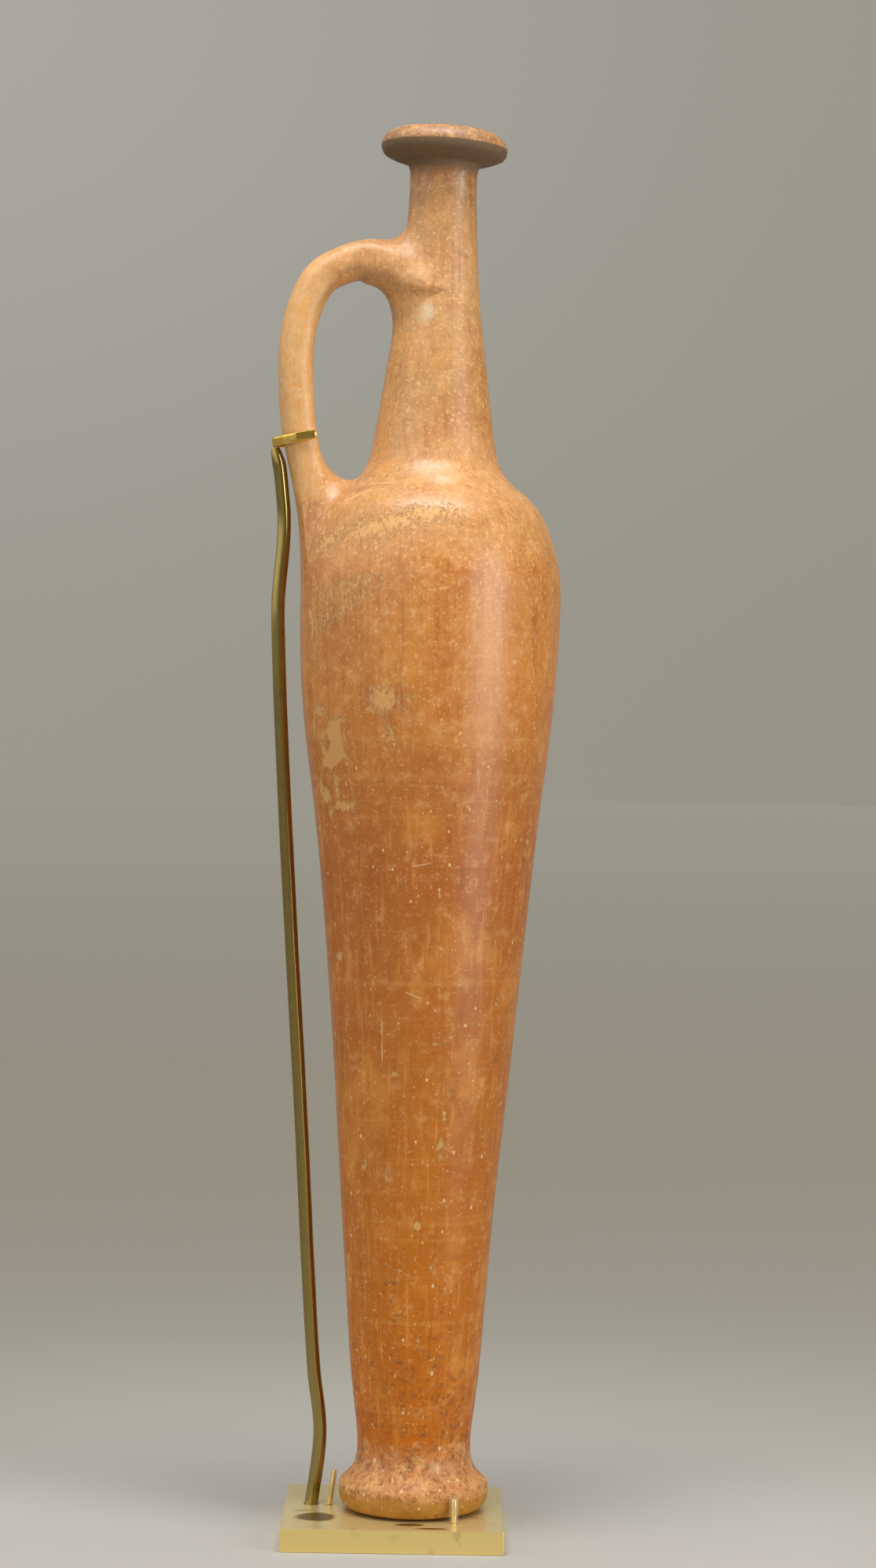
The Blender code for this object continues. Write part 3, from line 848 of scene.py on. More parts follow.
    def strap(self) -> np.ndarray:
        """The handle as one grid of rings, with a skirt at each end.

        A ring is the middle line's point plus the outward direction times the half thickness
        times the cosine of turn, less the across direction times the half width times its sine,
        both drawn out to a soft oblong, and a little uneven.

        Returns:
            Points as (rows, columns, 3).
        """
        line = self.handle_line()
        first = int(np.argmax(line[:, 0] > self.strap_start_share * self.handle_reach))
        outer = line[:, 0] > self.strap_outer_share * self.handle_reach
        last = int(np.argmax(outer & (line[:, 1] < self.belly_height + self.strap_end_rise)))
        rows = spread_rows(line[first:last], self.handle_rows, turn_weight=0.3)
        slope = directions(rows[:, :2])
        turn = np.linspace(0, TURN, self.handle_columns, endpoint=False)
        along = np.arange(len(rows))[:, None] * self.strap_pitch
        uneven = 1 + self.strap_uneven * waves(
            turn[None, :], along, 23, 14, (1, 6), (0.012, 0.05)) - self.strap_taken_in
        half = rows[:, 2:3] * oblong(turn, self.strap_power) * uneven
        ratio = self.handle_width / self.handle_thickness
        rings = np.stack([rows[:, :1] - slope[:, 1:] * half * np.cos(turn),
                          -ratio * half * np.sin(turn),
                          rows[:, 1:2] + slope[:, :1] * half * np.cos(turn)], -1)
        sides, inner = self.strap_lip_run
        front = smooth_step(-np.sin(turn), *sides) * smooth_step(-np.cos(turn), *inner)
        upper = self.skirt(rings[0], np.array([-slope[0, 0], 0, -slope[0, 1]]), self.upper_root,
                           turn, self.strap_lip * front)
        lower = self.skirt(rings[-1], np.array([slope[-1, 0], 0, slope[-1, 1]]), self.lower_root,
                           turn, 0 * front)
        grid = np.concatenate([upper[::-1], rings, lower])
        side = self.handle_side
        x = grid[..., 0] * math.cos(side) - grid[..., 1] * math.sin(side)
        y = grid[..., 0] * math.sin(side) + grid[..., 1] * math.cos(side)
        return np.stack([x + self.wander(grid[..., 2]) + self.offset, y,
                         grid[..., 2] + self.base], -1)

    def mark_frame(self, mark: Mark) -> tuple[np.ndarray, np.ndarray]:
        """Where a mark lies and how it is turned.

        Args:
            mark: the mark.

        Returns:
            Its middle, and its across, up and outward directions as rows.
        """
        angle = np.array(FRONT + math.radians(mark.angle))
        height = np.array([mark.height, mark.height + 1.0]) * MM
        low, high = self.to_frame(self.wall_radius(angle, height), angle, height)
        across = np.array([-math.sin(angle), math.cos(angle), 0.0])
        up = (high - low) / np.linalg.norm(high - low)
        turn = math.radians(mark.turn)
        rows = [math.cos(turn) * across + math.sin(turn) * up,
                math.cos(turn) * up - math.sin(turn) * across, np.cross(across, up)]
        return low, np.array(rows)

    def masks(self, points: np.ndarray, marks: tuple[Mark, ...], hollow: slice) -> dict:
        """Values for each point: how deep it lies inside the nearest mark of each kind.

        The depth is one less the oval distance (the root of the squared shares of the half sizes),
        times the smaller half size, in millimetres, and at least NO_MARK.

        Args:
            points: the bottle's points.
            marks: the marks.
            hollow: the points of the hollow.

        Returns:
            Arrays under each kind's name, and under "hollow".
        """
        depth = {wear.value: np.full(len(points), NO_MARK) for wear in Wear}
        for mark in marks:
            middle, axes = self.mark_frame(mark)
            local = (points - middle) @ axes.T / MM
            half = np.array([mark.half_across, mark.half_up, MARK_REACH])
            away = np.linalg.norm(local / half, axis=1)
            inside = (1 - away) * min(mark.half_across, mark.half_up)
            depth[mark.wear.value] = np.maximum(depth[mark.wear.value], inside)
        depth["worn"] = np.minimum(depth["worn"], -depth.pop("kept"))
        depth["hollow"] = np.zeros(len(points))
        depth["hollow"][hollow] = 1.0
        return depth

    def build(self, finish: "BurnishedSlip", marks: tuple[Mark, ...]) -> bpy.types.Object:
        """Makes the bottle.

        Args:
            finish: its finish.
            marks: its wear.

        Returns:
            The piece.
        """
        shell = Shell()
        wall = self.turned_wall()
        shell.grid(wall, start=True, end=True)
        neck_top, edge = self.base + self.neck_top_height, self.base + self.rim_height
        shell.grid(self.strap())
        points = shell.vertices()
        hollow = slice(self.outer_rows * self.columns, wall.shape[0] * self.columns)
        masks = self.masks(points, marks, hollow)
        # Under the rim's flange grime and painted shade darken the clay, and the handle is pale and
        # rubbed by hands.
        level = points[:, 2] + math.tan(self.rim_tilt) * (points[:, 0] - self.offset)
        reach = np.hypot(points[:, 0] - self.offset - self.wander(level - self.base), points[:, 1])
        start, full = self.grime_and_shade_start
        fade, gone = self.grime_and_shade_end
        masks["grime_and_shade"] = smooth_step(level, neck_top + start, neck_top + full) * (
            1 - smooth_step(level, edge + fade, edge + gone)) * (reach > self.neck_radius - MM)
        belly = self.belly_radius
        low, high = self.pale_reach
        depth, more = self.pale_depth
        upper = level >= self.base + self.belly_height + self.handle_rise
        pale = depth + more * smooth_step(reach, low * belly, high * belly)
        masks["crusted"] = np.maximum(masks["crusted"], np.where(upper, pale, NO_MARK))
        masks["palmed"] = smooth_step(reach, self.palm_reach * belly, belly) * upper
        middle = np.zeros_like(points)
        middle[:, 0] = self.offset + self.wander(points[:, 2] - self.base)
        outward = (points - middle) * (1, 1, 0)
        outward /= np.linalg.norm(outward, axis=1, keepdims=True) + 1e-9
        lost = smooth_step(masks["worn"], *self.worn_edge) * (1 - masks["hollow"])
        shell.points = [points - outward * (self.slip_thickness * lost)[:, None]]
        mesh = shell.mesh("bottle_clay", masks, sharp=50.0)
        return place_piece("bottle_clay", mesh, finish.build(), "bottle")


@dataclass(frozen=True)
class BurnishedSlip:
    """Red-firing slip on a wheel-thrown clay bottle, burnished with a pebble before firing.

    Burnishing lays the clay flat, so it has a waxy gloss drawn out in faint upright strokes; where
    the slip is gone the paler, dull body shows.
    """

    name: str = "Burnished red slip on fired clay"
    # Slip colour by height above the floor, in metres.
    heights: tuple = ((0.012, "C48A3C"), (0.0175, "C48E5C"), (0.026, "BC8052"), (0.034, "BA660E"),
                      (0.075, "B66608"), (0.150, "B2660C"), (0.230, "AA5C0A"), (0.300, "C87E30"),
                      (0.333, "C27C36"), (0.347, "BE864C"), (0.373, "C4905A"), (0.400, "B4864E"),
                      (0.438, "BE8E5A"), (0.466, "AC7C4A"), (0.474, "A66C3C"),
                      (0.480, "906848"))
    patterns: tuple = (
        PatternLayer("cloud", 45.0, detail=3.0),
        PatternLayer("drift", 17.0, (1.0, 1.0, 0.8), 4.0, 0.6, 0.31),
        PatternLayer("mottle", 5.0, detail=5.0, roughness=0.65, shift=0.17),
        PatternLayer("stroke", 1.8, (1.0, 1.0, 0.03), 3.0, 0.6, 0.53),
        PatternLayer("spot", 2.8, detail=5.0, roughness=0.75, shift=0.71),
        PatternLayer("ring", 3.4, (0.02, 0.02, 1.0), 2.0, 0.6, 0.11),
        PatternLayer("fleck", 1.5, detail=4.0, roughness=0.75),
        PatternLayer("grain", 0.5, detail=2.0, roughness=0.7, shift=0.47),
        PatternLayer("edge", 1.8, (1.3, 1.3, 0.7), 7.0, 0.8, 0.91),
        PatternLayer("scrape", 1.1, (0.16, 0.16, 1.0), 3.0, 0.6, 0.83),
    )
    tints: tuple = (
        Tint("cloud", 0.50, 0.66, 0.28, "A65A14"),
        Tint("drift", 0.52, 0.68, 0.36, "D8923E"),
        Tint("drift", 0.46, 0.32, 0.30, "A45416"),
        Tint("stroke", 0.54, 0.70, 0.36, "DC9648"),
        Tint("stroke", 0.46, 0.30, 0.40, "964A10"),
        Tint("high_mottle", 0.52, 0.72, 0.40, "DFA76C"),
        Tint("mottle", 0.45, 0.30, 0.34, "9E4E18"),
        Tint("ring", 0.56, 0.72, 0.20, "D89A50"),
        Tint("high_fleck", 0.58, 0.72, 0.55, "EBBE88"),
        Tint("fleck", 0.42, 0.28, 0.24, "94501E"),
        Tint("grain", 0.56, 0.76, 0.28, "E8BA84"),
        Tint("grain", 0.44, 0.26, 0.28, "98541F"),
        Tint("high_scrape", 0.69, 0.73, 0.36, "E8C084"),
        Tint("low_spot", 0.43, 0.35, 0.60, "744E2C"),
        Tint("foot_mottle", 0.50, 0.60, 0.38, "D8A86E"),
        Tint("foot_fleck", 0.47, 0.38, 0.60, "7C4C28"),
    )
    # Patterns that are stronger at some heights: the new name, the pattern, the heights, in
    # metres, where the change starts and ends, and what is added there.
    biases: tuple = (("high_mottle", "mottle", 0.20, 0.36, 0.0, 0.05),
                     ("high_fleck", "fleck", 0.20, 0.36, 0.0, 0.06),
                     ("high_scrape", "scrape", 0.16, 0.36, -0.02, 0.02),
                     ("foot_mottle", "mottle", 0.045, 0.028, -0.20, 0.0),
                     ("foot_fleck", "fleck", 0.045, 0.028, 0.20, 0.0),
                     ("low_spot", "spot", 0.16, 0.03, 0.10, -0.05))
    # Marks with a ragged edge: how much the pattern moves the edge, and the depths where it starts
    # and is full, in millimetres.
    edges: tuple = (("worn", 7.0, -0.05, 0.25), ("rubbed", 26.0, 0.0, 0.9),
                    ("sooted", 7.0, -0.4, 1.6), ("crusted", 8.0, -0.3, 2.2))
    # Chips the size of sand grains: their cells in millimetres, the largest radius as a share of
    # a cell, the heights, in metres, between which they grow to that radius, and the share below.
    chips: tuple = (("specks", 3.2, 0.20, 0.40, 0.03, 0.50), ("dots", 1.7, 0.24, 0.50, 0.03, 0.50),
                    ("dirt", 3.0, 0.24, 0.20, 0.02, 0.0))
    chip_rag: float = 0.12
    chip_edge: tuple[float, float] = (0.066, 0.050)
    band_wave: float = 0.006
    band_edge: tuple[float, float] = (0.0184, 0.0172)
    # What lies over the slip, from the lowest: the wear, its colour and its strength. Under the
    # rim the dark cover is grime and painted shade.
    covers: tuple = (("palmed", "E2A85C", 0.50), ("grime_and_shade", "5C4C38", 0.85),
                     ("sooted", "5E4330", 0.50), ("rubbed", "DEB070", 0.55),
                     ("band", "AA7C36", 0.70), ("worn", "CC9A58", 0.85),
                     ("crusted", "CFC2A6", 0.60), ("scratched", "E6C898", 0.55),
                     ("specks", "E6C898", 0.75), ("dots", "E6C898", 0.45),
                     ("dirt", "5E4330", 0.50), ("hollow", "8C6238", 1.0))
    # Relief: patterns and their depths in millimetres. Dulling: the heights, in metres, where it
    # starts and is full, and the roughness that it adds.
    depths: tuple = (("stroke", 0.030), ("mottle", 0.050), ("fleck", 0.030), ("grain", 0.012),
                     ("ring", 0.034), ("bare", -0.08))
    dulled: tuple = ((0.34, 0.40, 0.12), (0.05, 0.03, 0.12))
    mottle_dulling: float = 0.30
    # Specular strength by height in metres: ground-in dirt takes the shine off the lower body.
    shine: tuple = (0.04, 0.20, 0.16, 0.5)
    # Hairline scratches: angle from the front in degrees, height and half sizes in millimetres,
    # turn in degrees.
    scratches: tuple = ((-36, 355.0, 9.0, 0.27, 0), (-47, 350.9, 6.2, 0.54, 30),
                        (-26, 168.8, 0.3, 3.5, 0), (-26, 161.0, 0.3, 4.3, 0),
                        (-6, 180.4, 3.75, 0.25, -22), (-2, 225.0, 3.7, 0.21, 12))
    gloss: float = 0.35
    dull: float = 0.72

    def build(self) -> bpy.types.Material:
        """Makes the material.

        Returns:
            The material.
        """
        material, tree, place = start_material(self.name)
        level = add_node(tree, "ShaderNodeSeparateXYZ", inputs={0: place}).outputs[2]
        patterns = pattern_outputs(tree, place, self.patterns)
        for title, of, low, high, start, full in self.biases:
            rise = ranged(tree, level, low, high, start, full, soft=True)
            patterns[title] = maths(tree, "ADD", patterns[of], rise)
        colour = tinted(tree, colour_steps(tree, level, self.heights), patterns, self.tints)
        cover = self._cover(tree, place, level, patterns)
        for title, code, strength in self.covers:
            share = maths(tree, "MULTIPLY", cover[title], strength)
            colour = blended(tree, share, colour, linear(code))
        bare = cover["worn"]
        for title in ("rubbed", "band", "hollow", "grime_and_shade"):
            bare = maths(tree, "MAXIMUM", bare, cover[title])
        rough = ranged(tree, bare, 0.0, 1.0, self.gloss, self.dull)
        # Handling has dulled the slip on the foot and from the shoulder up.
        for low, high, more in self.dulled:
            rough = maths(tree, "ADD", rough, ranged(tree, level, low, high, 0.0, more))
        broken = maths(tree, "MULTIPLY_ADD", patterns["mottle"], self.mottle_dulling, rough)
        patterns["bare"] = bare
        surface(tree, {
            "Base Color": colour, "IOR": 1.6,
            "Roughness": maths(tree, "SUBTRACT", broken, 0.5 * self.mottle_dulling),
            "Specular IOR Level": ranged(tree, level, *self.shine),
            "Normal": relief(tree, tuple((patterns[of], deep) for of, deep in self.depths))})
        return material

    def _cover(self, tree: Tree, place: Socket, level: Socket, patterns: dict) -> dict[str, Socket]:
        """How far each kind of wear covers the slip, from 0 to 1.

        Args:
            tree: the node tree.
            place: the coordinates.
            level: the height.
            patterns: the patterns, for ragged edges.

        Returns:
            A share under each kind's name.
        """
        names = [edge[0] for edge in self.edges] + ["hollow", "grime_and_shade", "palmed"]
        cover = {title: add_node(tree, "ShaderNodeAttribute",
                                 {"attribute_name": title}).outputs["Fac"] for title in names}
        centred = maths(tree, "SUBTRACT", patterns["edge"], 0.5)
        for title, ragged, start, full in self.edges:
            moved = maths(tree, "MULTIPLY_ADD", centred, ragged, cover[title])
            cover[title] = ranged(tree, moved, start, full)
        bottle = Bottle()
        for angle, height, across, up, turn in self.scratches:
            middle, axes = bottle.mark_frame(Mark(Wear.WORN, angle, height, across, up, turn))
            inside = oval_share(tree, place, patterns["grain"], tuple(middle),
                                tuple(Matrix(axes).transposed().to_euler()),
                                (across * MM, up * MM, 2.0 * MM))
            cover["scratched"] = maths(tree, "MAXIMUM", inside, cover.get("scratched", 0.0))
        # The slip ends above the foot's lower edge in a slightly wavy line.
        wavy = maths(tree, "MULTIPLY_ADD", patterns["drift"], self.band_wave, level)
        cover["band"] = ranged(tree, wavy, *self.band_edge)
        # Each cell has a speck whose radius goes with the square of a random share, so that few
        # are large.
        for title, cell, radius, low, high, least in self.chips:
            warp = add_node(tree, "ShaderNodeMapping", inputs={
                "Vector": place, "Location": (cell, 0.0, 0.0), "Scale": (1.0, 1.0, 0.7)})
            cells = add_node(tree, "ShaderNodeTexVoronoi", inputs={
                "Vector": warp.outputs[0], "Scale": 1.0 / (cell * MM)})
            luck = add_node(tree, "ShaderNodeSeparateColor", inputs={0: cells.outputs["Color"]})
            squared = maths(tree, "POWER", luck.outputs[0], 2.0)
            reach = maths(tree, "MULTIPLY", squared, ranged(tree, level, low, high, least))
            short = maths(tree, "MULTIPLY_ADD", reach, -radius, cells.outputs["Distance"])
            rag = maths(tree, "MULTIPLY_ADD", patterns["grain"], self.chip_rag, short)
            cover[title] = ranged(tree, rag, *self.chip_edge)
        return cover


@dataclass(frozen=True)
class PolishedBrass:
    """Brass bar and plate, cut, filed, polished and then handled.

    Polishing leaves fine scratches along the piece, so reflections are drawn out and soft, and
    handling leaves brown, duller tarnished patches. On the plate, dark spots in the same colour
    are painted shade and painted dark reflections.
    """

    name: str
    scratch: tuple[float, float, float]
    gloss: float = 0.12
    body: str = "F4D680"
    tarnish_and_shade: str = "9A8048"
    tarnish_start: float = 0.56
    # Dark spots painted on in the tarnish colour, standing for shade and dark reflections: each a
    # middle and half sizes.
    painted_shade_spots: tuple = ()
    film: float = 0.0
    haze: float = 0.0
    dust: str = "B4AE9C"
    tarnish_run: float = 0.2
    tarnish_strength: float = 0.5
    tarnish_dulling: float = 0.10
    facing: tuple[float, float] = (0.5, 1.0)
    scratch_dulling: float = 0.06
    # Depths in millimetres.
    scratch_depth: float = 0.0006
    pit_depth: float = 0.001

    def build(self) -> bpy.types.Material:
        """Makes the material.

        Returns:
            The material.
        """
        material, tree, place = start_material(self.name)
        patterns = pattern_outputs(tree, place, (
            PatternLayer("stain_and_painted_shade", 9.0, detail=4.0, roughness=0.6, shift=0.37),
            PatternLayer("scratch", 0.6, self.scratch, 2.0, 0.6),
            PatternLayer("pit", 0.9, detail=2.0, shift=0.63)))
        stain_and_painted_shade = ranged(tree, patterns["stain_and_painted_shade"], self.tarnish_start,
                       self.tarnish_start + self.tarnish_run, 0.0, self.tarnish_strength)
        # The spots are painted shade and painted dark reflections, laid on in the tarnish colour.
        for centre, half in self.painted_shade_spots:
            spot = oval_share(tree, place, patterns["stain_and_painted_shade"], centre, (0.0, 0.0, 0.0), half)
            stain_and_painted_shade = maths(tree, "MAXIMUM", stain_and_painted_shade, spot)
        colour = blended(tree, stain_and_painted_shade, linear(self.body), linear(self.tarnish_and_shade))
        # Dust: a film on the faces that look up and a thin haze on the others.
        normal = add_node(tree, "ShaderNodeNewGeometry").outputs["Normal"]
        upward = add_node(tree, "ShaderNodeSeparateXYZ", inputs={0: normal}).outputs[2]
        film = maths(tree, "MULTIPLY", ranged(tree, upward, *self.facing, self.haze, self.film),
                     maths(tree, "SUBTRACT", 1.0, stain_and_painted_shade))
        rough = ranged(tree, stain_and_painted_shade, 0.0, 1.0, self.gloss, self.gloss + self.tarnish_dulling)
        surface(tree, {
            "Base Color": blended(tree, film, colour, linear(self.dust)),
            "Metallic": maths(tree, "SUBTRACT", 1.0, film),
            "Roughness": maths(tree, "MULTIPLY_ADD", patterns["scratch"], self.scratch_dulling,
                               rough),
            "Normal": relief(tree, ((patterns["scratch"], self.scratch_depth),
                                    (patterns["pit"], self.pit_depth)))})
        return material


@dataclass(frozen=True)
class ClearTube:
    """Plasticised PVC tube, extruded: water clear, a little yellow along the wall."""

    name: str = "Clear plasticised PVC tube"
    colours: tuple[str, str] = ("F3EFDC", "E6DFC2")
    gloss: tuple[float, float] = (0.04, 0.14)
    cover: float = 0.12
    line_depth: float = 0.002

    def build(self) -> bpy.types.Material:
        """Makes the material.

        Returns:
            The material.
        """
        material, tree, place = start_material(self.name)
        patterns = pattern_outputs(tree, place, (
            PatternLayer("draw_line", 0.5, (1.0, 1.0, 0.05)), PatternLayer("haze", 1.5)))
        clear, yellow = (linear(code) for code in self.colours)
        surface(tree, {
            "Base Color": blended(tree, patterns["haze"], clear, yellow), "IOR": 1.53,
            "Roughness": ranged(tree, patterns["haze"], 0.4, 0.8, *self.gloss),
            "Alpha": self.cover,
            "Normal": relief(tree, ((patterns["draw_line"], self.line_depth),))})
        return material


@dataclass
class Stand:
    """The brass stand: rod, clip, foot pins with their clear sleeves, and the base plate."""

    bottle: Bottle
    plate_thickness: float = 0.0079
    seat_floor: float = 0.0026
    rod_radius: float = 0.00238
    rod_base_gap: float = 0.0070
    rod_free_gap: float = 0.0105
    rod_base_side: float = math.radians(172.8)
    strip_height: float = 0.0033
    strip_thickness: float = 0.0012
    clip_share: float = 0.467
    clip_arm_share: float = 0.74
    clip_facets: int = 13
    rod_top_gap: float = 0.0005
    pin_radius: float = 0.0009
    sleeve_bore: float = 0.0011
    sleeve_radius: float = 0.00165
    sleeve_overlength: float = 0.0005
    pins: tuple = (("front", -60.0, 0.0082, 0.0), ("left", 174.0, 0.0120, 8.0),
                   ("back", 57.0, 0.0120, 8.0))
    rod_bends: tuple = ((.068, 1.0), (.127, 1.0), (.217, .99), (.373, .94), (.528, .90),
                        (.686, .68), (.797, .47), (.857, .45), (.909, .30), (.935, .17),
                        (.960, .11), (.982, .09))
    rod_rows: int = 200
    rod_columns: int = 28
    rod_pitch: float = 0.0019
    rod_uneven: float = 0.012
    rod_end_rows: int = 6
    rod_end_round: float = 0.62
    strip_rows: int = 120
    strip_columns: int = 24
    strip_power: float = 5.0
    facet_uneven: float = 0.045
    tongue_length: float = 0.0013
    hammering: float = 0.05

    @property
    def clip_slack(self) -> float:
        """How much further out than the handle's own curve the clip's bow stands."""
        return self.rod_radius + self.rod_top_gap - self.strip_thickness / 2

    def clip_place(self) -> tuple[np.ndarray, np.ndarray, float]:
        """Where the clip holds the handle.

        Returns:
            The handle's middle there, the outward, sideways and upward directions as rows, and the
            handle's half thickness.
        """
        bottle = self.bottle
        line = bottle.handle_line()
        outer = line[line[:, 0] > bottle.strap_outer_share * bottle.handle_reach]
        rise = bottle.handle_top_height - bottle.belly_height
        height = bottle.belly_height + self.clip_share * rise
        at = int(np.argmin(np.abs(outer[:, 1] - height)))
        reach, height, half = outer[at]
        slope = outer[at - 1, :2] - outer[at + 1, :2]
        side = np.array([math.cos(bottle.handle_side), math.sin(bottle.handle_side), 0.0])
        up = side * slope[0] + np.array([0, 0, slope[1]])
        up /= np.linalg.norm(up)
        across = np.cross([0, 0, 1], side)
        middle = side * reach + np.array([bottle.offset + float(bottle.wander(height)), 0,
                                          bottle.base + height])
        return middle, np.array([np.cross(across, up), across, up]), half

    def clay_reach(self, height: np.ndarray) -> np.ndarray:
        """How far the clay reaches on the handle's side: the wall, or the handle's outer edge.

        Args:
            height: heights on the bottle.

        Returns:
            Distances from the bottle's axis.
        """
        bottle = self.bottle
        line = bottle.handle_line()
        outer = line[line[:, 0] > bottle.strap_outer_share * bottle.handle_reach][::-1]
        side = bottle.side()[::-1]
        wall = np.interp(height, side[:, 1], side[:, 0])
        strap = np.interp(height, outer[:, 1], outer[:, 0] + outer[:, 2])
        return np.where(height < outer[0, 1], wall, np.maximum(wall, strap))

    def rod_line(self) -> np.ndarray:
        """The rod's middle line, from its seat in the plate to the clip.

        Returns:
            Rows of points.
        """
        bottle = self.bottle
        middle, axes, half = self.clip_place()
        bow = half + bottle.touch_gap + self.clip_slack + self.strip_thickness / 2
        strap = middle + axes[0] * bow
        top = strap - axes[2] * (self.strip_height / 2 + bottle.touch_gap)
        share, gap = np.array(self.rod_bends).T
        height = share * (top[2] - bottle.base)
        side = self.rod_base_side + share * (bottle.handle_side - self.rod_base_side)
        reach = self.clay_reach(height) + self.rod_radius + gap * self.rod_free_gap
        bends = np.column_stack([bottle.offset + bottle.wander(height) + reach * np.cos(side),
                                 reach * np.sin(side), bottle.base + height])
        foot = bottle.foot_radius + self.rod_base_gap + self.rod_radius
        base = np.array([bottle.offset + foot * math.cos(self.rod_base_side),
                         foot * math.sin(self.rod_base_side), self.plate_thickness])
        start = (bends[0] - base) / np.linalg.norm(bends[0] - base)
        depth = (self.plate_thickness - self.seat_floor - bottle.touch_gap) / start[2]
        return smooth_line(np.vstack([base - start * depth, base, bends, top]), 10)

    def build_rod(self, brass: bpy.types.Material) -> None:
        """Makes the rod.

        Row i is a circle square to the middle line: a point plus the radius times the cosine and
        sine of turn along two directions square to the line. The bending leaves it a little
        flattened here and there.

        Args:
            brass: the rod's finish.
        """
        line = spread_rows(self.rod_line(), self.rod_rows, turn_weight=0.25)
        ahead = directions(line)
        right = np.cross(ahead, [0, 1, 0])
        right /= np.linalg.norm(right, axis=1)[:, None]
        back = np.cross(ahead, right)
        turn = np.linspace(0, TURN, self.rod_columns, endpoint=False)
        along = np.arange(self.rod_rows)[:, None] * self.rod_pitch
        uneven = waves(turn[None, :], along, 31, 12, (1, 3), (0.012, 0.05)) - 1
        radius = self.rod_radius * (1 + self.rod_uneven * uneven)
        end = np.linspace(0, 1, self.rod_end_rows)[:, None]
        radius[-self.rod_end_rows:] *= np.sqrt(1 - self.rod_end_round * end ** 2)
        grid = line[:, None] + radius[..., None] * (right[:, None] * np.cos(turn)[None, :, None]
                                                    + back[:, None] * np.sin(turn)[None, :, None])
        shell = Shell()
        shell.grid(grid, start=True, end=True)
        place_piece("rod_brass", shell.mesh("rod_brass", sharp=70), brass,
                    "upright_rod")

    def build_clip(self, brass: bpy.types.Material) -> None:
        """Makes the clip.

        A rounded oblong section is carried along a U: two straight arms and a half ellipse round
        the handle, bent in short straight runs. The section narrows to a tongue at each tip, and
        hammering leaves it a little uneven.

        Args:
            brass: the clip's finish.
        """
        bottle = self.bottle
        middle, axes, half = self.clip_place()
        thin = half + bottle.touch_gap
        wide = half * bottle.handle_width / bottle.handle_thickness + bottle.touch_gap
        mid = self.strip_thickness / 2
        turn = np.linspace(0.5 * math.pi, -0.5 * math.pi, self.clip_facets + 1)
        arc = np.column_stack([(thin + self.clip_slack + mid) * np.cos(turn),
                               (wide + mid) * np.sin(turn)])
        arc *= 1 + self.facet_uneven * np.random.default_rng(53).random((len(turn), 1))
        arm = -self.clip_arm_share * thin
        u = np.vstack([[(arm, wide + mid)], arc, [(arm, -wide - mid)]])
        path = spread_rows(u, self.strip_rows, turn_weight=0.3)
        ahead = directions(path)
        away = np.column_stack([-ahead[:, 1], ahead[:, 0]])
        length = np.concatenate([[0], np.cumsum(np.linalg.norm(np.diff(path, axis=0), axis=1))])
        tip = np.minimum(length, length[-1] - length)
        near = np.clip(tip / self.tongue_length, 0, 1)[:, None]
        tongue = np.sqrt(np.clip(1 - (1 - near) ** 2, 0.02, 1))
        around = np.linspace(0, TURN, self.strip_columns, endpoint=False)
        section = oblong(around, self.strip_power)
        dents = waves(around[None, :], length[:, None], 41, 10, (0, 2), (0.0022, 0.006)) - 1
        hammer = 1 + self.hammering * dents
        flat = 0.5 * self.strip_thickness * (0.6 + 0.4 * tongue) * hammer * section
        tall = 0.5 * self.strip_height * tongue * (0.5 + 0.5 * hammer) * section
        plane = path[:, None, :] + away[:, None, :] * (flat * np.cos(around))[..., None]
        rise = tall * np.sin(around)
        local = np.concatenate([plane, rise[..., None]], axis=-1)
        shell = Shell()
        shell.grid(middle + local @ axes, start=True, end=True)
        place_piece("clip_brass", shell.mesh("clip_brass", sharp=6), brass,
                    "handle_clip")

    def lathe(self, profile: np.ndarray, place: np.ndarray, axes: np.ndarray, sides: int,
              ring: bool) -> Shell:
        """Turns a profile about a leaning axis.

        Point (i, j) is the place plus the profile's radius times the cosine and sine of angle j
        along the first two axes, plus its height along the third.

        Args:
            profile: rows of radius and height.
            place: the axis's foot.
            axes: the three directions as rows.
            sides: how many columns.
            ring: whether the profile is closed, as a tube's wall is.

        Returns:
            The surface.
        """
        angle = np.linspace(0, TURN, sides, endpoint=False)
        radius, height = profile[:, :1], profile[:, 1:]
        local = np.stack([radius * np.cos(angle), radius * np.sin(angle), height + 0 * angle], -1)
        shell = Shell()
        shell.grid(place + local @ axes, start=not ring, end=not ring, ring=ring)
        return shell

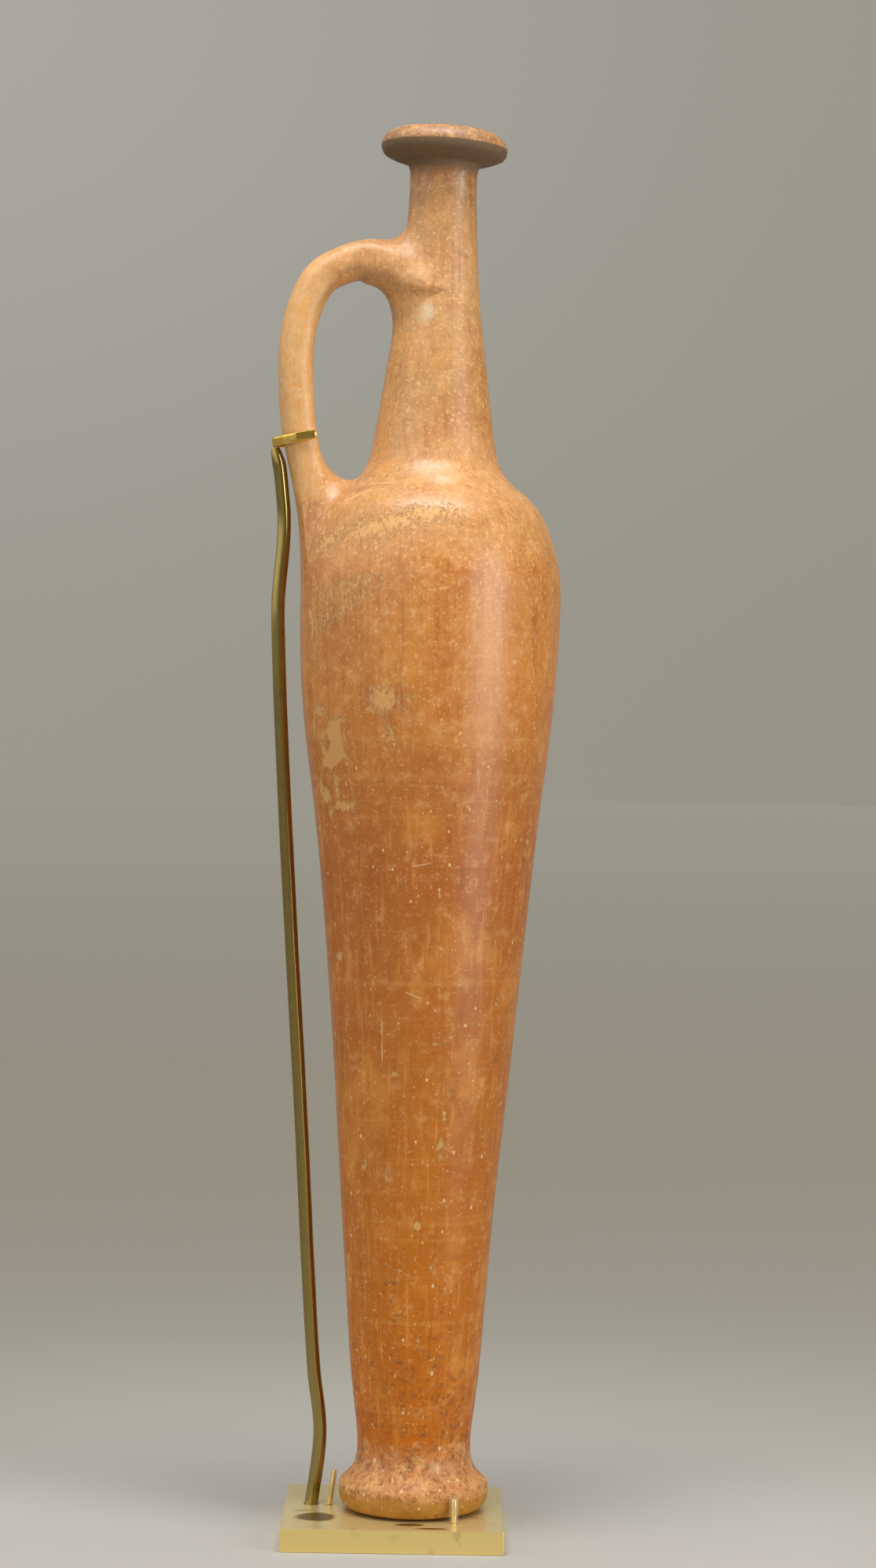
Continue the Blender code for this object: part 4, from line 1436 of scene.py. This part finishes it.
    def build_pins(self, brass: bpy.types.Material, plastic: bpy.types.Material) -> None:
        """Makes each foot pin and the clear tube on it.

        Args:
            brass: the pins' finish.
            plastic: the tubes' finish.
        """
        bottle = self.bottle
        for name, side, length, lean in self.pins:
            side, lean = math.radians(side), math.radians(lean)
            reach = bottle.foot_radius + self.sleeve_radius / math.cos(lean) + bottle.touch_gap
            reach += bottle.foot_widest * math.tan(lean)
            place = np.array([bottle.offset + reach * math.cos(side), reach * math.sin(side),
                              self.plate_thickness])
            turn = np.array(Matrix.Rotation(side, 3, "Z") @ Matrix.Rotation(-lean, 3, "Y"))
            low = bottle.touch_gap - (self.plate_thickness - self.seat_floor) / math.cos(lean)
            tip = length / math.cos(lean)
            lift = bottle.touch_gap + self.sleeve_radius * math.tan(lean)
            r, top = self.pin_radius, tip
            edge = 0.2 * r
            pin = np.array([(0.3 * r, low), (r - edge, low), (r, low + edge),
                            (r, 0.5 * (low + tip)), (r, top - 1.5 * edge),
                            (r - 0.3 * edge, top - 0.6 * edge), (r - edge, top), (0.3 * r, top)])
            shell = self.lathe(pin, place, turn.T, 32, False)
            place_piece("pin_%s_brass" % name, shell.mesh("pin_" + name, sharp=80), brass,
                        "foot_pin_" + name)
            bore, rim, top = self.sleeve_bore, self.sleeve_radius, tip + self.sleeve_overlength
            soft = 0.25 * (rim - bore)
            tube = np.array([(bore + soft, lift), (rim - soft, lift), (rim, lift + soft),
                             (rim, 0.5 * (lift + top)), (rim, top - soft), (rim - soft, top),
                             (bore + soft, top), (bore, top - soft), (bore, 0.5 * (lift + top)),
                             (bore, lift + soft)])
            shell = self.lathe(tube, place, turn.T, 40, True)
            place_piece("sleeve_%s_clear" % name, shell.mesh("sleeve_" + name, sharp=80), plastic,
                        "pin_sleeve_" + name)

    def dress_plate(self, brass: bpy.types.Material) -> None:
        """Gives the kept base plate its finish.

        Args:
            brass: the plate's finish.
        """
        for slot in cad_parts["base_plate"].material_slots:
            slot.material = brass
        LOG.info("base_plate: dressed as %s", brass.name)


@dataclass(frozen=True)
class Lamp:
    """A rectangular soft light, aimed at a point."""

    name: str
    place: tuple[float, float, float]
    aim: tuple[float, float, float]
    width: float
    height: float
    watts: float
    colour: str = "FFFFFF"


@dataclass
class Studio:
    """The pale floor, the soft lights, the grey surround and the camera."""

    lamps: tuple[Lamp, ...] = (
        Lamp("Overhead softbox", (0.0, -0.42, 1.5), (0.0, 0.0, 0.2), 1.0, 0.45, 17.0, "FFFCF8"),
        Lamp("Right strip softbox", (1.12, -0.77, 0.50), (0.0, 0.0, 0.25), 0.72, 1.0, 10.8,
             "FFFCF8"),
    )
    # Floor colour by distance from the middle, in metres, with painted shading: darkest about half
    # a metre out and lighter far off. The lamps brighten it near the object.
    floor_colours_and_painted_shading: tuple = (
        (0.0, "B1B0AE"), (0.18, "B6B4B1"), (0.29, "A8A69F"), (0.48, "9F9C95"), (0.74, "A4A097"),
        (1.12, "AFAAA1"), (1.70, "BFB9AF"), (2.66, "CCC8BF"), (4.59, "D6D2CA"), (10.4, "DBD9D2"),
        (37.0, "DFDCD6"))
    horizon: tuple[str, str] = ("9D998F", "989387")
    zenith: tuple[str, str] = ("AAA8A2", "9B998E")
    # The surround's further strength towards a side: the side, the cosines of the angle from it
    # where the strength starts and is full, and the strength.
    sides: tuple = (((-0.86, -0.51, 0.0), 0.30, 0.95, 2.3), ((0.42, -0.91, 0.0), 0.45, 1.0, -0.42),
                    ((1.0, 0.0, 0.0), 0.25, 0.90, -0.52))
    # Where the surround turns from its left colours to its right ones, and from the horizon's to
    # those overhead, as parts of the direction.
    crossing: tuple[float, float] = (-0.16, 0.16)
    rise: tuple[float, float] = (0.0, 0.22)
    floor_radius: float = 60.0
    floor_start: float = 0.02
    floor_rows: int = 40
    floor_columns: int = 96
    camera_place: tuple[float, float, float] = (0.01165, -1.207, 0.2606)
    camera_roll: float = math.radians(0.9)
    lens: float = 79.4
    sensor: float = 36.0
    clip_start: float = 0.01

    def build_floor(self) -> None:
        """Makes the floor: a flat disc, from rings whose radius grows as the cube of the row."""
        rows = np.linspace(self.floor_start, 1, self.floor_rows)[:, None] ** 3 * self.floor_radius
        angle = np.linspace(0, TURN, self.floor_columns, endpoint=False)[None, ::-1]
        grid = np.stack([rows * np.cos(angle), rows * np.sin(angle), 0 * rows * angle], -1)
        shell = Shell()
        shell.grid(grid, start=True)
        floor = add_object("studio_floor", shell.mesh("studio_floor"))
        material, tree, place = start_material("Matt pale backdrop paper")
        far = add_node(tree, "ShaderNodeVectorMath", {"operation": "LENGTH"}, {0: place})
        # The ramp paints the shading: darker out to about half a metre, lighter far away.
        colour = colour_steps(tree, far.outputs["Value"], self.floor_colours_and_painted_shading)
        surface(tree, {"Base Color": colour, "Roughness": 0.9, "Specular IOR Level": 0.0})
        floor.data.materials.append(material)

    def build_world(self) -> None:
        """Makes the surround: grey, lighter overhead and from the left, darker in front."""
        world = bpy.data.worlds.new("Grey studio")
        world.use_nodes = True
        tree = world.node_tree
        tree.nodes.clear()
        way = add_node(tree, "ShaderNodeTexCoord").outputs["Generated"]
        part = add_node(tree, "ShaderNodeSeparateXYZ", inputs={0: way}).outputs
        right = ranged(tree, part[0], *self.crossing, soft=True)
        up = ranged(tree, part[2], *self.rise, soft=True)
        low, high = (blended(tree, right, linear(left), linear(other))
                     for left, other in (self.horizon, self.zenith))
        strength = 1.0
        for side, start, full, more in self.sides:
            near = add_node(tree, "ShaderNodeVectorMath", {"operation": "DOT_PRODUCT"},
                            {0: way, 1: side}).outputs["Value"]
            strength = maths(tree, "ADD", ranged(tree, near, start, full, 0.0, more, soft=True),
                             strength)
        back = add_node(tree, "ShaderNodeBackground", inputs={
            0: blended(tree, up, low, high), 1: strength})
        add_node(tree, "ShaderNodeOutputWorld", inputs={0: back.outputs[0]})
        bpy.context.scene.world = world

    def build_lamps(self) -> None:
        """Makes the lights."""
        for lamp in self.lamps:
            light = bpy.data.lights.new(lamp.name, "AREA")
            light.shape = "RECTANGLE"
            light.size, light.size_y = lamp.width, lamp.height
            light.energy = lamp.watts
            light.color = linear(lamp.colour)[:3]
            way = Vector(lamp.aim) - Vector(lamp.place)
            add_object(lamp.name, light).matrix_world = (
                Matrix.Translation(lamp.place) @ way.to_track_quat("-Z", "Y").to_matrix().to_4x4())
            LOG.info("light %s: %.0f W", lamp.name, lamp.watts)

    def build_camera(self) -> None:
        """Makes the camera, level and turned slightly about its own axis."""
        data = bpy.data.cameras.new("Camera")
        data.lens = self.lens
        data.sensor_width = self.sensor
        data.clip_start = self.clip_start
        camera = add_object("Camera", data)
        camera.matrix_world = (Matrix.Translation(self.camera_place)
                               @ Matrix.Rotation(0.5 * math.pi, 4, "X")
                               @ Matrix.Rotation(self.camera_roll, 4, "Z"))
        bpy.context.scene.camera = camera

    def build(self) -> None:
        """Makes everything that isn't the object."""
        self.build_camera()
        self.build_lamps()
        self.build_world()
        self.build_floor()
        bpy.context.scene.view_settings.view_transform = "Standard"


# Painted shade and painted dark reflections on the plate's top, one left of the foot in front of
# the rod's seat and two just in front of the foot: the middle's X and Y, and the half sizes
# along them, in metres.
PLATE_PAINTED_SHADE_SPOTS = ((-0.0266, -0.0174, 0.0075, 0.0072), (0.0056, -0.0281, 0.0055, 0.0021),
               (0.0134, -0.0337, 0.0060, 0.0015))
PAINTED_SPOT_REACH = 0.002
# Wear on the bottle, as angle, height, half across, half up and turn.
MARKS = {
    Wear.WORN: (
        (-61, 276.9, 5.5, 1.9, 0), (-49, 272.4, 5.3, 2.1, 15), (-43, 273.9, 1.8, 1.1, 0),
        (-52, 264.9, 6.9, 7.2, 0), (-43, 260.7, 1.8, 1.1, 0), (-57, 259.1, 4.5, 2.7, 0),
        (-67, 272.0, 1.7, 4.6, 0), (-51, 251.6, 1.4, 6.4, 0), (-66, 251.0, 2.0, 3.8, 0),
        (-61, 248.0, 2.8, 3.0, 0), (-47, 244.4, 5.5, 1.9, 0), (-40, 245.3, 1.4, 2.4, 0),
        (-58, 241.9, 1.8, 1.6, 0),
        (50, 177.7, 1.3, 1.0, 0), (0, 101.2, 1.7, 1.9, 0), (-59, 192.8, 3.0, 1.6, 0),
        (-37, 183.4, 1.2, 0.9, 0), (12, 86.9, 1.1, 1.1, 0), (-13, 85.2, 1.5, 0.8, 0),
        (15, 124.6, 1.4, 1.2, 0), (15, 129.2, 1.5, 2.0, 0), (17, 138.4, 1.1, 1.6, 0),
        (20, 147.2, 0.9, 1.6, 20), (46, 132.1, 2.6, 0.8, -30), (-42, 121.4, 1.4, 2.1, 0),
        (-19, 120.4, 2.0, 1.0, -20), (-23, 117.0, 1.2, 1.3, 0), (54, 233.8, 1.6, 1.3, 20),
        (66, 232.7, 1.2, 2.2, 15), (-6, 281.3, 2.6, 1.0, -8), (-3, 312.6, 0.8, 0.8, 0),
        (72, 103.8, 1.2, 2.2, 0), (64, 64.9, 1.3, 1.6, 0), (75, 44.3, 1.6, 3.8, 0),
        (3, 62.1, 0.8, 0.8, 0), (-17, 268.8, 1.0, 6.9, 27), (14, 165.3, 4.6, 0.7, 25),
        (-20, 153.9, 3.0, 0.8, -15), (-72, 455.7, 1.0, 1.4, 0),
    ),
    Wear.KEPT: (
        (-61, 271.9, 3.3, 2.7, 0), (-56, 266.1, 1.7, 2.2, 0), (-59, 254.5, 4.1, 2.7, 0),
    ),
    Wear.RUBBED: (
        (-30, 338.0, 9.8, 3.7, 6), (-17, 340.8, 11.0, 3.2, 4), (-2, 343.6, 10.6, 3.2, 0),
        (-39, 318.8, 15.8, 2.1, 12), (-37, 312.4, 10.0, 1.9, 30), (-63, 305.5, 2.4, 10.8, 0),
        (-20, 280.4, 7.3, 4.5, 0),
        (-45, 317.5, 12.0, 1.7, 12), (-52, 309.0, 9.0, 1.7, 30), (-55, 335.0, 9.0, 3.0, 20),
    ),
    Wear.CRUSTED: (
        (35, 461.0, 1.9, 5.0, 0), (-15, 414.9, 3.3, 4.2, 0), (23, 17.5, 1.2, 2.6, 30),
        (8, 356.0, 6.0, 3.0, 0),
    ),
    Wear.SOOTED: (
        (53, 157.6, 1.6, 1.6, 0), (17, 151.4, 1.1, 1.3, 0), (38, 145.3, 1.3, 1.1, 0),
        (17, 24.3, 2.5, 1.3, 0), (-3, 18.8, 1.6, 2.1, 0), (-46, 34.2, 1.6, 1.6, 0),
        (35, 39.4, 2.0, 1.4, 0), (8, 57.5, 2.2, 1.3, 0), (65, 26.5, 2.0, 2.4, 0),
        (-17, 81.8, 1.7, 1.6, 0), (-34, 229.9, 1.4, 1.1, 0), (-12, 219.0, 1.4, 1.3, 0),
        (80, 36.5, 2.0, 3.3, 0),
    ),
}


def main() -> None:
    """Builds the bottle, its stand and the studio, and reports each piece."""
    logging.basicConfig(level=logging.INFO, format="%(message)s")
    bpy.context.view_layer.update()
    Studio().build()
    bottle = Bottle()
    marks = tuple(Mark(wear, *values) for wear, rows in MARKS.items() for values in rows)
    bottle.build(BurnishedSlip(), marks)
    stand = Stand(bottle)
    bar = PolishedBrass("Drawn brass bar, tarnished in the air", (1.0, 1.0, 0.05), body="A08E56",
                        tarnish_and_shade="847046", gloss=0.14).build()
    strip = PolishedBrass("Hammered and polished brass strip", (1.0, 1.0, 0.2), 0.14,
                          body="F2CE6A").build()
    # Dark spots painted on the plate's top as shade and dark reflections.
    painted_shade_spots = tuple(((x, y, stand.plate_thickness), (across, deep, PAINTED_SPOT_REACH))
                  for x, y, across, deep in PLATE_PAINTED_SHADE_SPOTS)
    plate = PolishedBrass("Sawn, filed and satin polished brass plate", (0.06, 1.0, 1.0), 0.26,
                          body="FFE694", film=0.42, haze=0.05, painted_shade_spots=painted_shade_spots).build()
    stand.build_rod(bar)
    stand.build_clip(strip)
    stand.build_pins(strip, ClearTube().build())
    stand.dress_plate(plate)


if __name__ == "__main__":
    main()
